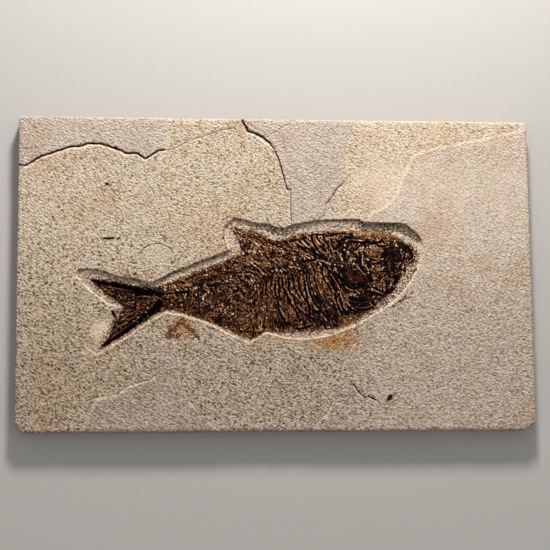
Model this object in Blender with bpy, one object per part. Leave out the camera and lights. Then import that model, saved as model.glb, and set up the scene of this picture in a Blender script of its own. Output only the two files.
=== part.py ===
# A sawn slab of layered limestone with a flattened fossil fish lying in a cut trench.
# The slab lies on its back: +X runs from the fish's tail to its head, +Y to the fish's back
# and +Z out of the face. The origin is under the slab's middle, on the surface it rests on.
# Lengths are in metres; the outlines below are written in millimetres and scaled by MM.

import math

import bmesh
import bpy
import numpy as np
from mathutils import Vector, noise
from mathutils.geometry import delaunay_2d_cdt

MM = 0.001

SLAB_LENGTH = 457 * MM
SLAB_WIDTH = 279 * MM
SLAB_THICKNESS = 16 * MM  # over the highest layer left on the face
BASE_LEVEL = SLAB_THICKNESS - 0.9 * MM  # the lowest layer of the face
FACE_WAVE = 0.12 * MM  # slow unevenness of the split face
WAVE_LENGTH = 45 * MM
EDGE_WEAR = 0.9 * MM  # worn arris round the face
EDGE_NIBBLE = 0.35 * MM  # small losses along the sawn sides
EDGE_STEP = 9 * MM
LEDGE_WIDTH = 0.8 * MM  # how far a broken layer's edge slopes
LEDGE_FINE = 1 * MM  # a layer's edge is followed this finely
LEDGE_SKIP = 8  # and every eighth point of it is kept
FACE_GRID = 15 * MM

TRENCH_FLOOR = BASE_LEVEL - 2.5 * MM
TRENCH_WALL = 1.9 * MM  # run of the sloping wall
TRENCH_STEP = 4.5 * MM

POCKET_FLOOR = TRENCH_FLOOR - 2.7 * MM
POCKET_GAP = 0.3 * MM
FISH_STEP = 3.4 * MM
FISH_LIP = 0.3 * MM  # the fish's rim above the trench floor
BODY_SWELL = 1.7 * MM  # how far the flattened body rises inside its rim
BODY_SLOPE = 11 * MM
BONE_STEP = 8 * MM
BONE_TOP = TRENCH_FLOOR + 3.0 * MM  # no bone stands higher

# Chipped corners and the four sides, counter-clockwise from the lower left.
SLAB_CORNERS = [
    (-222, -139.5), (218, -139.5), (223.5, -136.5), (228.5, -133), (228.5, 137.5), (226.5, 139.5),
    (-227.2, 139.5), (-228.5, 138.2), (-228.5, -131.5), (-226, -134.5),
]

# Layers of stone that still stand on the face: (rise, outline).
LAYERS = [
    (0.9, [(-240, 94.5), (-223, 95), (-206, 104), (-185, 112), (-168, 116), (-157, 116), (-143, 112),
           (-132, 108), (-125, 108), (-117, 103), (-108, 108), (-101, 111), (-98, 124), (-96, 139), (-96, 170),
           (-240, 170)]),
    (0.55, [(-35, 150), (-31, 137), (-24, 128), (-10, 121), (-3, 113), (1, 106), (6, 88), (9, 77),
            (12, 73), (12, 44), (30, 44), (37, 47), (42, 54), (45, 63), (53, 71), (58, 79), (63, 87),
            (62, 110), (63, 150)]),
    (0.45, [(240, 150), (225, 132), (203, 127), (163, 118), (143, 114), (124, 107), (119, 96), (112, 85),
            (108, 72), (97, 60), (84, 54), (82, 40), (96, 0), (80, -35), (78, -50), (69, -62), (60, -77),
            (53, -94), (48, -117), (43, -150), (240, -150)]),
    (0.4, [(-161, -150), (-161, -116), (-156, -110), (-142, -108), (-131, -100), (-111, -94),
           (-105, -86), (-104, -64), (-90, -63), (-88, -91), (-84, -103), (-75, -117), (-62, -131),
           (-50, -150)]),
]

# The trench's rim, each stretch ending in a corner that the next one starts from.
TRENCH_RIM = [
    [(-175, 3), (-163, 3.3), (-151, 0.6), (-140, -3), (-126, -5), (-113, -8), (-105, -5.5), (-94, 0.5),
     (-80, 6), (-62, 13.5), (-43, 20.5)],
    [(-43, 20.5), (-46.3, 27), (-48, 34), (-46.5, 42), (-38, 50)],
    [(-38, 50), (-28, 47.3), (-16, 45), (-6.5, 44), (-1, 41.2), (8, 41.3), (14, 43.8), (34, 47.6),
     (52, 48.8), (74, 49.2)],
    [(74, 49.2), (77, 46.8), (90, 46), (112, 45.3), (120, 41), (128, 33), (131, 22), (128, 9), (121, -5),
     (112, -17), (99, -29), (78, -42), (58, -51.3), (40, -57), (22, -59), (4, -57.5), (-10, -53.5)],
    [(-10, -53.5), (-17, -57.5), (-25, -63)],
    [(-25, -63), (-40, -57), (-60, -46.5), (-80, -39.5), (-99, -36)],
    [(-99, -36), (-113, -44), (-134, -58.5), (-158, -73)],
    [(-158, -73), (-168, -66), (-169, -57), (-160, -46), (-146, -36), (-139, -31)],
    [(-139, -31), (-150, -27.5), (-163, -18), (-173, -9), (-177.5, -2), (-175, 3)],
]

# The fish's own edge, written the same way, from the tip of the tail's upper lobe.
FISH_EDGE = [
    [(-164, -6), (-150, -7.6), (-135, -10.5), (-121, -13), (-108, -13), (-95, -9.5), (-80, -3),
     (-60, 5.5), (-45, 11.3), (-36.5, 15.5)],
    [(-36.5, 15.5), (-31, 20), (-33, 27), (-37, 34.5), (-39.5, 41.3)],
    [(-39.5, 41.3), (-30, 38.7), (-18, 35.8), (-8, 31), (2, 28.5), (12, 31), (24, 34.3), (40, 36),
     (62, 36.4), (84, 36), (98, 35.3), (106, 31.5), (113, 27), (121, 24)],
    [(121, 24), (124, 17.5), (121, 11), (115.5, 6.5), (113, 0), (107, -7), (102, -16), (93, -22),
     (84, -30), (70, -39.5), (54, -47), (36, -50), (18, -51.5), (0, -51.5), (-11, -50.5)],
    [(-11, -50.5), (-17, -54), (-24, -57.5)],
    [(-24, -57.5), (-38, -52), (-56, -44.3), (-76, -37), (-92, -32.5), (-103, -33)],
    [(-103, -33), (-117, -41.3), (-133, -52.3), (-153.5, -65)],
    [(-153.5, -65), (-147, -54.5), (-141.5, -42), (-133.5, -30)],
    [(-133.5, -30), (-143, -23.5), (-155, -14.5), (-164, -6)],
]

BACKBONE = [(-103, -20), (-85, -17.5), (-65, -15.5), (-45, -12), (-25, -7), (-8, -2), (8, 3.5), (25, 8.5),
            (42, 10.5), (58, 9)]
BACKBONE_WIDTH = 5.5 * MM

RIB_COUNT = 19
RIB_FIRST_X, RIB_LAST_X = -16, 48  # along the backbone, in millimetres
SPINE_COUNT = 30
SPINE_FIRST_X, SPINE_LAST_X = -88, 50
TAIL_SPINE_COUNT = 13
TAIL_SPINE_FIRST_X, TAIL_SPINE_LAST_X = -92, -26
ANAL_RAY_COUNT = 9
DORSAL_RAY_COUNT = 6
TAIL_RAY_COUNT = 6

EYE_CENTRE, EYE_RADIUS = (90, 18), 9.5  # in millimetres

# Ridges and edges of the crushed skull: (height, half width, points).
SKULL = [
    (0.7, 1.8, [(75, 20), (75.5, 12), (79, 5), (85, -1), (93, -4)]),  # cheek bone behind the eye
    (0.6, 1.8, [(58, 31), (78, 30), (96, 31), (106, 26), (115, 22)]),  # roof of the skull
    (0.7, 2.0, [(118, 20), (108, 10), (104, 2), (98, -6), (91, -12)]),  # upper jaw
    (0.6, 1.8, [(113, 4), (107, -4), (101, -13), (90, -20)]),  # lower jaw
    (0.7, 2.2, [(60, 12), (55, 3), (57, -6), (64, -13), (76, -14)]),  # edge of the gill cover
    (0.6, 1.8, [(52, -8), (56, -17), (63, -23), (73, -28), (84, -28)]),  # shoulder girdle
    (0.4, 1.4, [(66, -20), (76, -23), (88, -22)]),  # throat bones
    (0.4, 1.4, [(64, -27), (74, -32), (84, -28)]),
]


def along(points, step, closed=False):
    """Points about step apart on a smooth curve through the given ones."""
    p = [np.array(q, float) * MM for q in points]
    if closed:
        before, after = p[-1], [p[0], p[1]]
        p = [*p, p[0]]
    else:
        before, after = 2 * p[0] - p[1], [2 * p[-1] - p[-2]]
    ring = [before, *p, *(after[1:] if closed else after)]
    made = []
    for a, b, c, d in zip(ring, ring[1:], ring[2:], ring[3:], strict=False):
        count = max(1, round(np.linalg.norm(c - b) / step))
        for t in np.arange(count) / count:
            made.append(0.5 * (2 * b + (c - a) * t + (2 * a - 5 * b + 4 * c - d) * t**2
                               + (3 * b - a - 3 * c + d) * t**3))
    if not closed:
        made.append(p[-1])
    return np.array(made)


def closed_outline(stretches, step):
    """One closed line made of smooth stretches that meet in corners."""
    return np.concatenate([along(stretch, step)[:-1] for stretch in stretches])


def crossings(points, line):
    """Which points lie inside a closed line."""
    x, y = points[:, 0, None], points[:, 1, None]
    x0, y0 = line[:, 0], line[:, 1]
    x1, y1 = np.roll(x0, -1), np.roll(y0, -1)
    height = np.where(y1 == y0, 1, y1 - y0)
    cut = ((y0 > y) != (y1 > y)) & (x < x0 + (y - y0) * (x1 - x0) / height)
    return cut.sum(axis=1) % 2 == 1


def away(points, line, closed=True):
    """How far each point is from a line."""
    a = line if closed else line[:-1]
    b = np.roll(line, -1, axis=0) if closed else line[1:]
    run = b - a
    offset = points[:, None] - a
    share = (offset * run).sum(-1) / np.maximum((run * run).sum(-1), 1e-18)
    nearest = offset - np.clip(share, 0, 1)[..., None] * run
    return np.sqrt((nearest**2).sum(-1)).min(axis=1)


def depth_inside(points, line):
    """The distance to a closed line, negative outside it."""
    return np.where(crossings(points, line), 1, -1) * away(points, line)


def ease(share):
    share = np.clip(share, 0, 1)
    return share * share * (3 - 2 * share)


def shifted(line, amount, closed=True):
    """The line moved sideways, to its right; outwards on a closed line that runs counter-clockwise."""
    before = np.roll(line, 1, axis=0) if closed else np.vstack([line[:1], line[:-1]])
    after = np.roll(line, -1, axis=0) if closed else np.vstack([line[1:], line[-1:]])
    run = after - before
    run /= np.linalg.norm(run, axis=1)[:, None]
    return line + amount * np.column_stack([run[:, 1], -run[:, 0]])


def counter_clockwise(line):
    x, y = line[:, 0], line[:, 1]
    turning = (x * np.roll(y, -1) - np.roll(x, -1) * y).sum()
    return line if turning > 0 else line[::-1]


def wave(points, length, seed):
    """Slow noise between -1 and 1."""
    return np.array([noise.noise(Vector((x / length, y / length, seed))) for x, y in points])


def slab_outline():
    """The sawn sides, with chipped corners and small losses that never pass the slab's size."""
    corners = np.array(SLAB_CORNERS, float) * MM
    line = []
    for a, b in zip(corners, np.roll(corners, -1, axis=0), strict=False):
        count = max(1, round(np.linalg.norm(b - a) / EDGE_STEP))
        line += [a + (b - a) * i / count for i in range(count)]
    line = np.array(line)
    loss = EDGE_NIBBLE * np.clip(wave(line, 14 * MM, 3.7) + wave(line, 37 * MM, 8.2), 0, 1)
    return shifted(line, -loss[:, None])


def face_level(points, layers):
    """Height of the split face before the trench is cut."""
    level = BASE_LEVEL - FACE_WAVE * (1 + wave(points, WAVE_LENGTH, 0.5)) / 2
    for rise, edge in layers:
        level = level + rise * ease(0.5 + depth_inside(points, edge) / LEDGE_WIDTH)
    return np.minimum(level, SLAB_THICKNESS)


def slab_level(points, layers, rim):
    """The face with its trench."""
    share = ease(depth_inside(points, rim) / TRENCH_WALL)
    return face_level(points, layers) * (1 - share) + TRENCH_FLOOR * share


def joined(lines):
    """Points and edges of several lines, each given with whether it is closed."""
    points, edges = [], []
    for line, closed in lines:
        start, count = len(points), len(line)
        points += [Vector(p) for p in line]
        edges += [(start + i, start + i + 1) for i in range(count - 1)]
        if closed:
            edges.append((start + count - 1, start))
    return points, edges


def scattered(low, high, step, seed):
    """A loose grid of points over a rectangle."""
    draw = np.random.default_rng(seed)
    xs, ys = (np.arange(a + step / 2, b, step) for a, b in zip(low, high, strict=True))
    grid = np.array([(x, y) for x in xs for y in ys])
    return grid + draw.uniform(-0.3, 0.3, grid.shape) * step


def sheet(mesh, lines, loose, level):
    """Triangles over everything inside the first line, with level(points) as their height."""
    points, edges = joined(lines)
    points += [Vector(p) for p in loose]
    flat, _, triangles = delaunay_2d_cdt(points, edges, [], 1, 1e-6)[:3]
    flat = np.array([tuple(p) for p in flat])
    heights = level(flat)
    corners = [mesh.verts.new((x, y, z)) for (x, y), z in zip(flat, heights, strict=True)]
    for a, b, c in triangles:
        mesh.faces.new((corners[a], corners[b], corners[c]))
    loose_corners = [v for v in mesh.verts if not v.link_faces]
    bmesh.ops.delete(mesh, geom=loose_corners, context="VERTS")


def drop_wall(mesh, edges, z):
    """A wall straight down from a ring of edges, and the ring's lower edges."""
    made = bmesh.ops.extrude_edge_only(mesh, edges=edges)["geom"]
    for corner in made:
        if isinstance(corner, bmesh.types.BMVert):
            corner.co.z = z
    return [e for e in made if isinstance(e, bmesh.types.BMEdge)]


def open_edges(mesh):
    return [e for e in mesh.edges if len(e.link_faces) == 1]


def finished(name, mesh, material):
    bmesh.ops.recalc_face_normals(mesh, faces=mesh.faces)
    data = bpy.data.meshes.new(name)
    mesh.to_mesh(data)
    mesh.free()
    data.materials.append(material)
    piece = bpy.data.objects.new(name, data)
    bpy.context.collection.objects.link(piece)
    data.shade_smooth()
    data.set_sharp_from_angle(angle=math.radians(35))
    return piece


def surface(name, colour, roughness):
    material = bpy.data.materials.new(name)
    material.use_nodes = True
    shader = material.node_tree.nodes["Principled BSDF"]
    shader.inputs["Base Color"].default_value = (*colour, 1)
    shader.inputs["Roughness"].default_value = roughness
    shader.inputs["Metallic"].default_value = 0
    return material


def build_slab(fish_edge):
    """The stone: split face, trench, the pocket that holds the fish, and sawn sides and back."""
    outline = slab_outline()
    shoulder = shifted(outline, -EDGE_WEAR)
    rim = counter_clockwise(closed_outline(TRENCH_RIM, TRENCH_STEP))
    foot = shifted(rim, -TRENCH_WALL)
    pocket = shifted(fish_edge, POCKET_GAP)

    layers = [(rise * MM, counter_clockwise(along(edge, LEDGE_FINE, closed=True))) for rise, edge in LAYERS]

    def level(points):
        height = slab_level(points, layers, rim)
        return height - EDGE_WEAR * (away(points, outline) < 1e-6)

    ledges = []
    for _, edge in layers:
        for side in (-0.5, 0.5):
            ledges += clear_runs(shifted(edge, side * LEDGE_WIDTH), shoulder, rim)
    loose = scattered((-SLAB_LENGTH / 2, -SLAB_WIDTH / 2), (SLAB_LENGTH / 2, SLAB_WIDTH / 2), FACE_GRID, 7)
    keep = (depth_inside(loose, shoulder) > 3 * MM) & (depth_inside(loose, rim) < -3 * MM)
    closed = [(line, True) for line in (outline, shoulder, rim, foot, pocket)]
    mesh = bmesh.new()
    sheet(mesh, closed + ledges, loose[keep], level)

    centres = np.array([tuple(f.calc_center_median().xy) for f in mesh.faces])
    sunk = crossings(centres, pocket)
    inner = [f for f, gone in zip(mesh.faces, sunk, strict=True) if gone]
    bmesh.ops.delete(mesh, geom=inner, context="FACES")
    rings = open_edges(mesh)
    inside = [e for e in rings if away(np.array([tuple(e.verts[0].co.xy)]), outline)[0] > 1e-5]
    outside = [e for e in rings if e not in set(inside)]
    floor = drop_wall(mesh, inside, POCKET_FLOOR)
    back = drop_wall(mesh, outside, 0)
    for ring in (floor, back):
        bmesh.ops.contextual_create(mesh, geom=ring)
    return finished("slab", mesh, surface("Sawn limestone", (0.48, 0.38, 0.29), 0.9))


def clear_runs(line, shoulder, rim):
    """The stretches of a layer's edge that lie on the face, clear of its sides and the trench."""
    on_face = (depth_inside(line, shoulder) > 0.3 * MM) & (depth_inside(line, rim) < -0.3 * MM)
    ends = np.flatnonzero(np.diff(np.concatenate([[0], on_face, [0]]).astype(int)))
    runs = [line[a:b] for a, b in zip(ends[::2], ends[1::2], strict=True) if b - a > LEDGE_SKIP]
    return [(np.vstack([run[:-LEDGE_SKIP:LEDGE_SKIP], run[-1:]]), False) for run in runs]


def at_x(line, x):
    """The height of a line that runs along X, and x itself, in millimetres."""
    order = np.argsort(line[:, 0])
    return np.array((x, np.interp(x * MM, line[order, 0], line[order, 1]) / MM))


def ribs(spine):
    """Ribs hang from the backbone and sweep forward, the more so nearer the head."""
    made = []
    for i in range(RIB_COUNT):
        share = i / (RIB_COUNT - 1)
        top = at_x(spine, RIB_FIRST_X + share * (RIB_LAST_X - RIB_FIRST_X)) - (0, 3.2)
        sweep = 4 + 20 * math.sin(math.pi * min(share, 0.75) / 1.5)
        end = -33 - 11 * math.sin(math.pi * (0.1 + 0.75 * share))
        middle = top + (0.33 * sweep, 0.55 * (end - top[1]))
        made.append((0.5, 0.85, [top, middle, (top[0] + sweep, end)]))
    return made


def back_spines(spine):
    """Spines above the backbone lean back, longer and steeper towards the head."""
    made = []
    for i in range(SPINE_COUNT):
        share = i / (SPINE_COUNT - 1)
        foot = at_x(spine, SPINE_FIRST_X + share * (SPINE_LAST_X - SPINE_FIRST_X)) + (0, 3.2)
        lean = 7 + 12 * math.sin(math.pi * share)
        rise = 5 + 16 * share
        made.append((0.4, 0.7, [foot, foot + (-0.45 * lean, 0.55 * rise), foot + (-lean, rise)]))
    return made


def tail_spines(spine):
    """Spines under the rear half of the backbone lean back too."""
    made = []
    for i in range(TAIL_SPINE_COUNT):
        share = i / (TAIL_SPINE_COUNT - 1)
        foot = at_x(spine, TAIL_SPINE_FIRST_X + share * (TAIL_SPINE_LAST_X - TAIL_SPINE_FIRST_X)) - (0, 3.2)
        made.append((0.4, 0.7, [foot, foot - (4 + 2 * share, 5 + 11 * share)]))
    return made


def fan(count, first, last):
    """Rays spread evenly from a first to a last one, each written as (base x, base y, tip x, tip y)."""
    rays = np.linspace(first, last, count)
    return [(0.5, 0.85, [ray[:2], ray[2:]]) for ray in rays]


def fin_rays():
    """Rays of the back fin, the anal fin's supports and both lobes of the tail."""
    back = fan(DORSAL_RAY_COUNT, (-2, 27.5, -37, 39), (-30, 19, -33, 23))
    anal = fan(ANAL_RAY_COUNT, (-38, -36, -43, -47), (-12, -39, -18, -50.5))
    upper = fan(TAIL_RAY_COUNT, (-117, -14.5, -159, -8.5), (-117, -20.5, -138, -25.5))
    lower = fan(TAIL_RAY_COUNT, (-114, -37, -150, -61.5), (-119, -25.5, -137, -33))
    plates = [
        (0.8, 1.8, [(-103, -18), (-110, -16.5), (-118, -15.5)]),
        (0.8, 1.8, [(-102, -24), (-108, -30), (-113, -34.5)]),
    ]
    return back + anal + upper + lower + plates


def eye_ring():
    """The bony ring round the eye."""
    turns = np.linspace(0, 2 * math.pi, 13)
    ring = [(EYE_CENTRE[0] + EYE_RADIUS * math.cos(t), EYE_CENTRE[1] + 0.8 * EYE_RADIUS * math.sin(t)) for t in turns]
    return [(0.6, 1.5, ring)]


def vertebrae(spine):
    """The backbone as one low ridge, with short cross bars for its joints."""
    made = [(0.7, BACKBONE_WIDTH / MM / 2, spine / MM)]
    for x in np.arange(-98, 56, 5.2):
        centre = at_x(spine, x)
        made.append((1.0, 0.8, [centre - (0.4, 2.3), centre + (0.4, 2.3)]))
    return made


def build_fish(fish_edge):
    """The flattened body, with its bones as ridges."""
    spine = along(BACKBONE, 5 * MM)
    shapes = vertebrae(spine) + ribs(spine) + back_spines(spine) + tail_spines(spine) + fin_rays()
    shapes += SKULL + eye_ring()
    bones = [(height * MM, half * MM, along(points, BONE_STEP)) for height, half, points in shapes]

    def level(points):
        inset = away(points, fish_edge)
        body = TRENCH_FLOOR + FISH_LIP + BODY_SWELL * ease(inset / BODY_SLOPE)
        bone = np.zeros(len(points))
        for height, half, line in bones:
            bone = np.maximum(bone, height * np.clip(1 - away(points, line, closed=False) / half, 0, 1))
        return np.minimum(body + bone * ease(inset / (2 * MM)), BONE_TOP)

    guides = []
    for _, half, line in bones:
        for side in (-half, 0, half):
            guide = shifted(line, side, closed=False)
            guides.append((guide[depth_inside(guide, fish_edge) > 1.2 * MM], False))
    guides = [(line, closed) for line, closed in guides if len(line) > 1]
    low, high = fish_edge.min(axis=0), fish_edge.max(axis=0)
    loose = scattered(low, high, 9 * MM, 11)
    loose = loose[depth_inside(loose, fish_edge) > 2 * MM]
    mesh = bmesh.new()
    sheet(mesh, [(fish_edge, True), *guides], loose, level)
    base = drop_wall(mesh, open_edges(mesh), POCKET_FLOOR + POCKET_GAP)
    bmesh.ops.contextual_create(mesh, geom=base)
    return finished("fish", mesh, surface("Fossil bone", (0.07, 0.035, 0.02), 0.6))


def clear_scene():
    for old in list(bpy.data.objects):
        bpy.data.objects.remove(old, do_unlink=True)


clear_scene()
fishEdge = counter_clockwise(closed_outline(FISH_EDGE, FISH_STEP))
build_slab(fishEdge)
build_fish(fishEdge)
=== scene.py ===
# A fossil fish in a sawn slab of layered limestone, lying on a pale table.
# Places on the slab are in millimetres: +X towards the fish's head, +Y towards its back.
import math

import bmesh
import bpy
import numpy as np
from mathutils import Matrix, Vector, noise
from mathutils.geometry import delaunay_2d_cdt
from mathutils.kdtree import KDTree


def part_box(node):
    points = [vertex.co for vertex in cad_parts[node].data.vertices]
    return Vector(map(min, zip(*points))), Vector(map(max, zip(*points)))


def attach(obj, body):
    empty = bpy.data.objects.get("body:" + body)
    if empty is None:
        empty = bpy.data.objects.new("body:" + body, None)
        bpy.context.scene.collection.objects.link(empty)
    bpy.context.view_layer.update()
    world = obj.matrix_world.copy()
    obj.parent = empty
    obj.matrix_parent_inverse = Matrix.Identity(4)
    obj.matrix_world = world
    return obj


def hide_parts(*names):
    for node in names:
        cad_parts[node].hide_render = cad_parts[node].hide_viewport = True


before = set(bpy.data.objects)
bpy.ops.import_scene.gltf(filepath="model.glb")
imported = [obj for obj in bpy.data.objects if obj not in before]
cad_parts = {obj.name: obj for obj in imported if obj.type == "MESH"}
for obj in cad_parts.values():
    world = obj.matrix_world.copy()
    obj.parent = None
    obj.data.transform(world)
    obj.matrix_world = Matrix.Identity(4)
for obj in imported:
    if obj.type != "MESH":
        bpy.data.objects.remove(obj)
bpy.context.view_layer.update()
mm = 0.001
slabHigh, fishLow = np.array(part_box("slab")[1]) / mm, np.array(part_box("fish")[0]) / mm
draw = np.random.default_rng(1852)
print("frame loaded")


# curves, distances and noise over the slab's face

def smooth(points, step, closed=False):
    # points about a step apart on a smooth curve through the given ones
    p = [np.array(q, float) for q in points]
    if closed:
        ring = [p[-1], *p, p[0], p[1]]
    else:
        ring = [2 * p[0] - p[1], *p, 2 * p[-1] - p[-2]]
    made = []
    for a, b, c, d in zip(ring, ring[1:], ring[2:], ring[3:], strict=False):
        count = max(1, round(np.linalg.norm(c - b) / step))
        for t in np.arange(count) / count:
            made.append(0.5 * (2 * b + (c - a) * t + (2 * a - 5 * b + 4 * c - d) * t**2
                               + (3 * b - a - 3 * c + d) * t**3))
    if not closed:
        made.append(p[-1])
    return np.array(made)


def cornered(stretches, step):
    # one closed line of smooth stretches that meet in corners, counter-clockwise
    line = np.concatenate([smooth(stretch, step)[:-1] for stretch in stretches])
    x, y = line.T
    return line if (x * np.roll(y, -1) - np.roll(x, -1) * y).sum() > 0 else line[::-1]


def inside(points, line):
    # whether each point lies within a closed line
    made = np.zeros(len(points), bool)
    x0, y0 = line.T
    x1, y1 = np.roll(x0, -1), np.roll(y0, -1)
    slope = (x1 - x0) / np.where(y1 == y0, 1, y1 - y0)
    for start in range(0, len(points), 4000):
        x, y = points[start:start + 4000, 0, None], points[start:start + 4000, 1, None]
        cut = ((y0 > y) != (y1 > y)) & (x < x0 + (y - y0) * slope)
        made[start:start + 4000] = cut.sum(axis=1) % 2 == 1
    return made


def distance(points, line, reach, closed=True):
    # how far each point is from a line, counted up to reach
    a = line if closed else line[:-1]
    b = np.roll(line, -1, axis=0) if closed else line[1:]
    best = np.full(len(points), float(reach))
    for i in range(0, len(a), 5):
        p, q = a[i:i + 5], b[i:i + 5]
        ends = np.vstack([p, q])
        low, high = ends.min(axis=0) - reach, ends.max(axis=0) + reach
        near = np.flatnonzero(((points > low) & (points < high)).all(axis=1))
        run = q - p
        offset = points[near, None] - p
        share = np.clip((offset * run).sum(-1) / np.maximum((run * run).sum(-1), 1e-12), 0, 1)
        gap = np.linalg.norm(offset - share[..., None] * run, axis=-1).min(axis=1)
        best[near] = np.minimum(best[near], gap)
    return best


def depthIn(points, line, reach):
    # distance to a closed line, negative outside it
    return np.where(inside(points, line), 1, -1) * distance(points, line, reach)


def ease(share):
    share = np.clip(share, 0, 1)
    return share * share * (3 - 2 * share)


def shifted(line, amount, closed=True):
    # the line moved to its right, which is outwards on a counter-clockwise ring
    before = np.roll(line, 1, axis=0) if closed else np.vstack([line[:1], line[:-1]])
    after = np.roll(line, -1, axis=0) if closed else np.vstack([line[1:], line[-1:]])
    run = after - before
    run /= np.maximum(np.linalg.norm(run, axis=1), 1e-9)[:, None]
    return line + np.reshape(amount, (-1, 1)) * np.column_stack([run[:, 1], -run[:, 0]])


def rough(points, size, layers=1, seed=0.0):
    # noise between about -1 and 1 whose features are size millimetres wide
    if layers == 1:
        return np.array([noise.noise(Vector((x / size, y / size, seed))) for x, y in points[:, :2]])
    return np.array([noise.fractal(Vector((x / size, y / size, seed)), 0.8, 2.1, layers)
                     for x, y in points[:, :2]])


def honeycomb(low, high, step, jitter=0.15):
    # a loose hexagonal grid over a rectangle
    rows = np.arange(low[1] + step / 2, high[1], step * math.sqrt(0.75))
    made = []
    for i, y in enumerate(rows):
        xs = np.arange(low[0] + step * (0.5 + 0.5 * (i % 2)), high[0], step)
        made.append(np.column_stack([xs, np.full(len(xs), y)]))
    made = np.concatenate(made)
    return made + draw.uniform(-jitter, jitter, made.shape) * step


def jagged(line, amount, size, seed):
    # an open line with small uneven bends
    return shifted(line, amount * rough(line, size, 3, seed), closed=False)


def clearOf(points, lines, gap):
    # the points that keep a gap from every line
    kept = points
    for line, closed in lines:
        kept = kept[distance(kept, line, gap, closed) > 0.99 * gap]
    return kept


# what lies where on the slab

layerRises = [0.9, 0.55, 0.45, 0.4]  # millimetres above the lowest layer of the face
layerGreys = [1, 1, 0.75, 1]  # how grey each layer is
layerEdges = [
    [(-240, 94), (-223, 95), (-216, 99), (-208, 104), (-198, 107.5), (-188, 111), (-180, 113),
     (-168, 115.5), (-155, 115.3), (-147, 112.5), (-140, 110), (-133, 107), (-125, 107.5), (-117, 102.5),
     (-112, 105.5), (-106, 109.5), (-101, 110.5), (-98, 124), (-96, 139), (-96, 170), (-240, 170)],
    [(-35, 150), (-31, 138), (-26, 129), (-15, 124), (-10, 120.5), (-5, 116), (-1, 109), (2, 101),
     (6, 87), (8, 78.5), (11.5, 73), (12.5, 44), (30, 44), (37, 47.5), (42, 54), (44, 62), (50, 70),
     (57, 79), (63, 87), (62, 110), (63, 150)],
    [(240, 150), (225, 132), (203, 127), (163, 118), (143, 114), (124, 107), (119, 96), (112, 85),
     (108, 72), (97, 60), (84, 54), (82, 40), (96, 0), (80, -35), (78, -50), (69, -62), (60, -77),
     (53, -94), (48, -117), (43, -150), (240, -150)],
    [(-161, -150), (-161, -116), (-156, -110), (-142, -108), (-131, -100), (-111, -94), (-105, -86),
     (-104, -64), (-90, -63), (-88, -91), (-84, -103), (-75, -117), (-62, -131), (-50, -150)],
]

trenchRim = [
    [(-175, 3), (-163, 3.3), (-151, 0.6), (-140, -3), (-126, -5), (-113, -8), (-105, -5.5), (-94, 0.5),
     (-80, 6), (-62, 13.5), (-43, 20.5)],
    [(-43, 20.5), (-46.3, 27), (-48, 34), (-46.5, 42), (-38, 50)],
    [(-38, 50), (-28, 47.3), (-16, 45), (-6.5, 44), (-1, 41.2), (8, 41.3), (14, 43.8), (34, 47.6),
     (52, 48.8), (74, 49.2)],
    [(74, 49.2), (77, 46.8), (90, 46), (112, 45.3), (120, 41), (128, 33), (131, 22), (128, 9), (121, -5),
     (112, -17), (99, -29), (78, -42), (58, -51.3), (40, -57), (22, -59), (4, -57.5), (-10, -53.5)],
    [(-10, -53.5), (-17, -57.5), (-25, -63)],
    [(-25, -63), (-40, -57), (-60, -46.5), (-80, -39.5), (-99, -36)],
    [(-99, -36), (-113, -44), (-134, -58.5), (-158, -73)],
    [(-158, -73), (-168, -66), (-169, -57), (-160, -46), (-146, -36), (-139, -31)],
    [(-139, -31), (-150, -27.5), (-163, -18), (-173, -9), (-177.5, -2), (-175, 3)],
]

fishEdge = [
    [(-164, -6), (-150, -7.6), (-135, -10.5), (-121, -13), (-108, -13), (-95, -9.5), (-80, -3),
     (-60, 5.5), (-45, 11.3), (-36.5, 15.5)],
    [(-36.5, 15.5), (-31, 20), (-33, 27), (-37, 34.5), (-39.5, 41.3)],
    [(-39.5, 41.3), (-30, 38.7), (-18, 35.8), (-8, 31), (2, 28.5), (12, 31), (24, 34.3), (40, 36),
     (62, 36.4), (84, 36), (98, 35.3), (106, 31.5), (113, 27), (121, 24)],
    [(121, 24), (124, 17.5), (121, 11), (115.5, 6.5), (113, 0), (107, -7), (102, -16), (93, -22),
     (84, -30), (70, -39.5), (54, -47), (36, -50), (18, -51.5), (0, -51.5), (-11, -50.5)],
    [(-11, -50.5), (-17, -54), (-24, -57.5)],
    [(-24, -57.5), (-38, -52), (-56, -44.3), (-76, -37), (-92, -32.5), (-103, -33)],
    [(-103, -33), (-117, -41.3), (-133, -52.3), (-153.5, -65)],
    [(-153.5, -65), (-147, -54.5), (-141.5, -42), (-133.5, -30)],
    [(-133.5, -30), (-143, -23.5), (-155, -14.5), (-164, -6)],
]

backbone = [(-103, -20), (-85, -17.5), (-65, -15.5), (-45, -12), (-25, -7), (-8, -2), (8, 3.5), (25, 8.5),
            (42, 10.5), (58, 9)]

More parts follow.
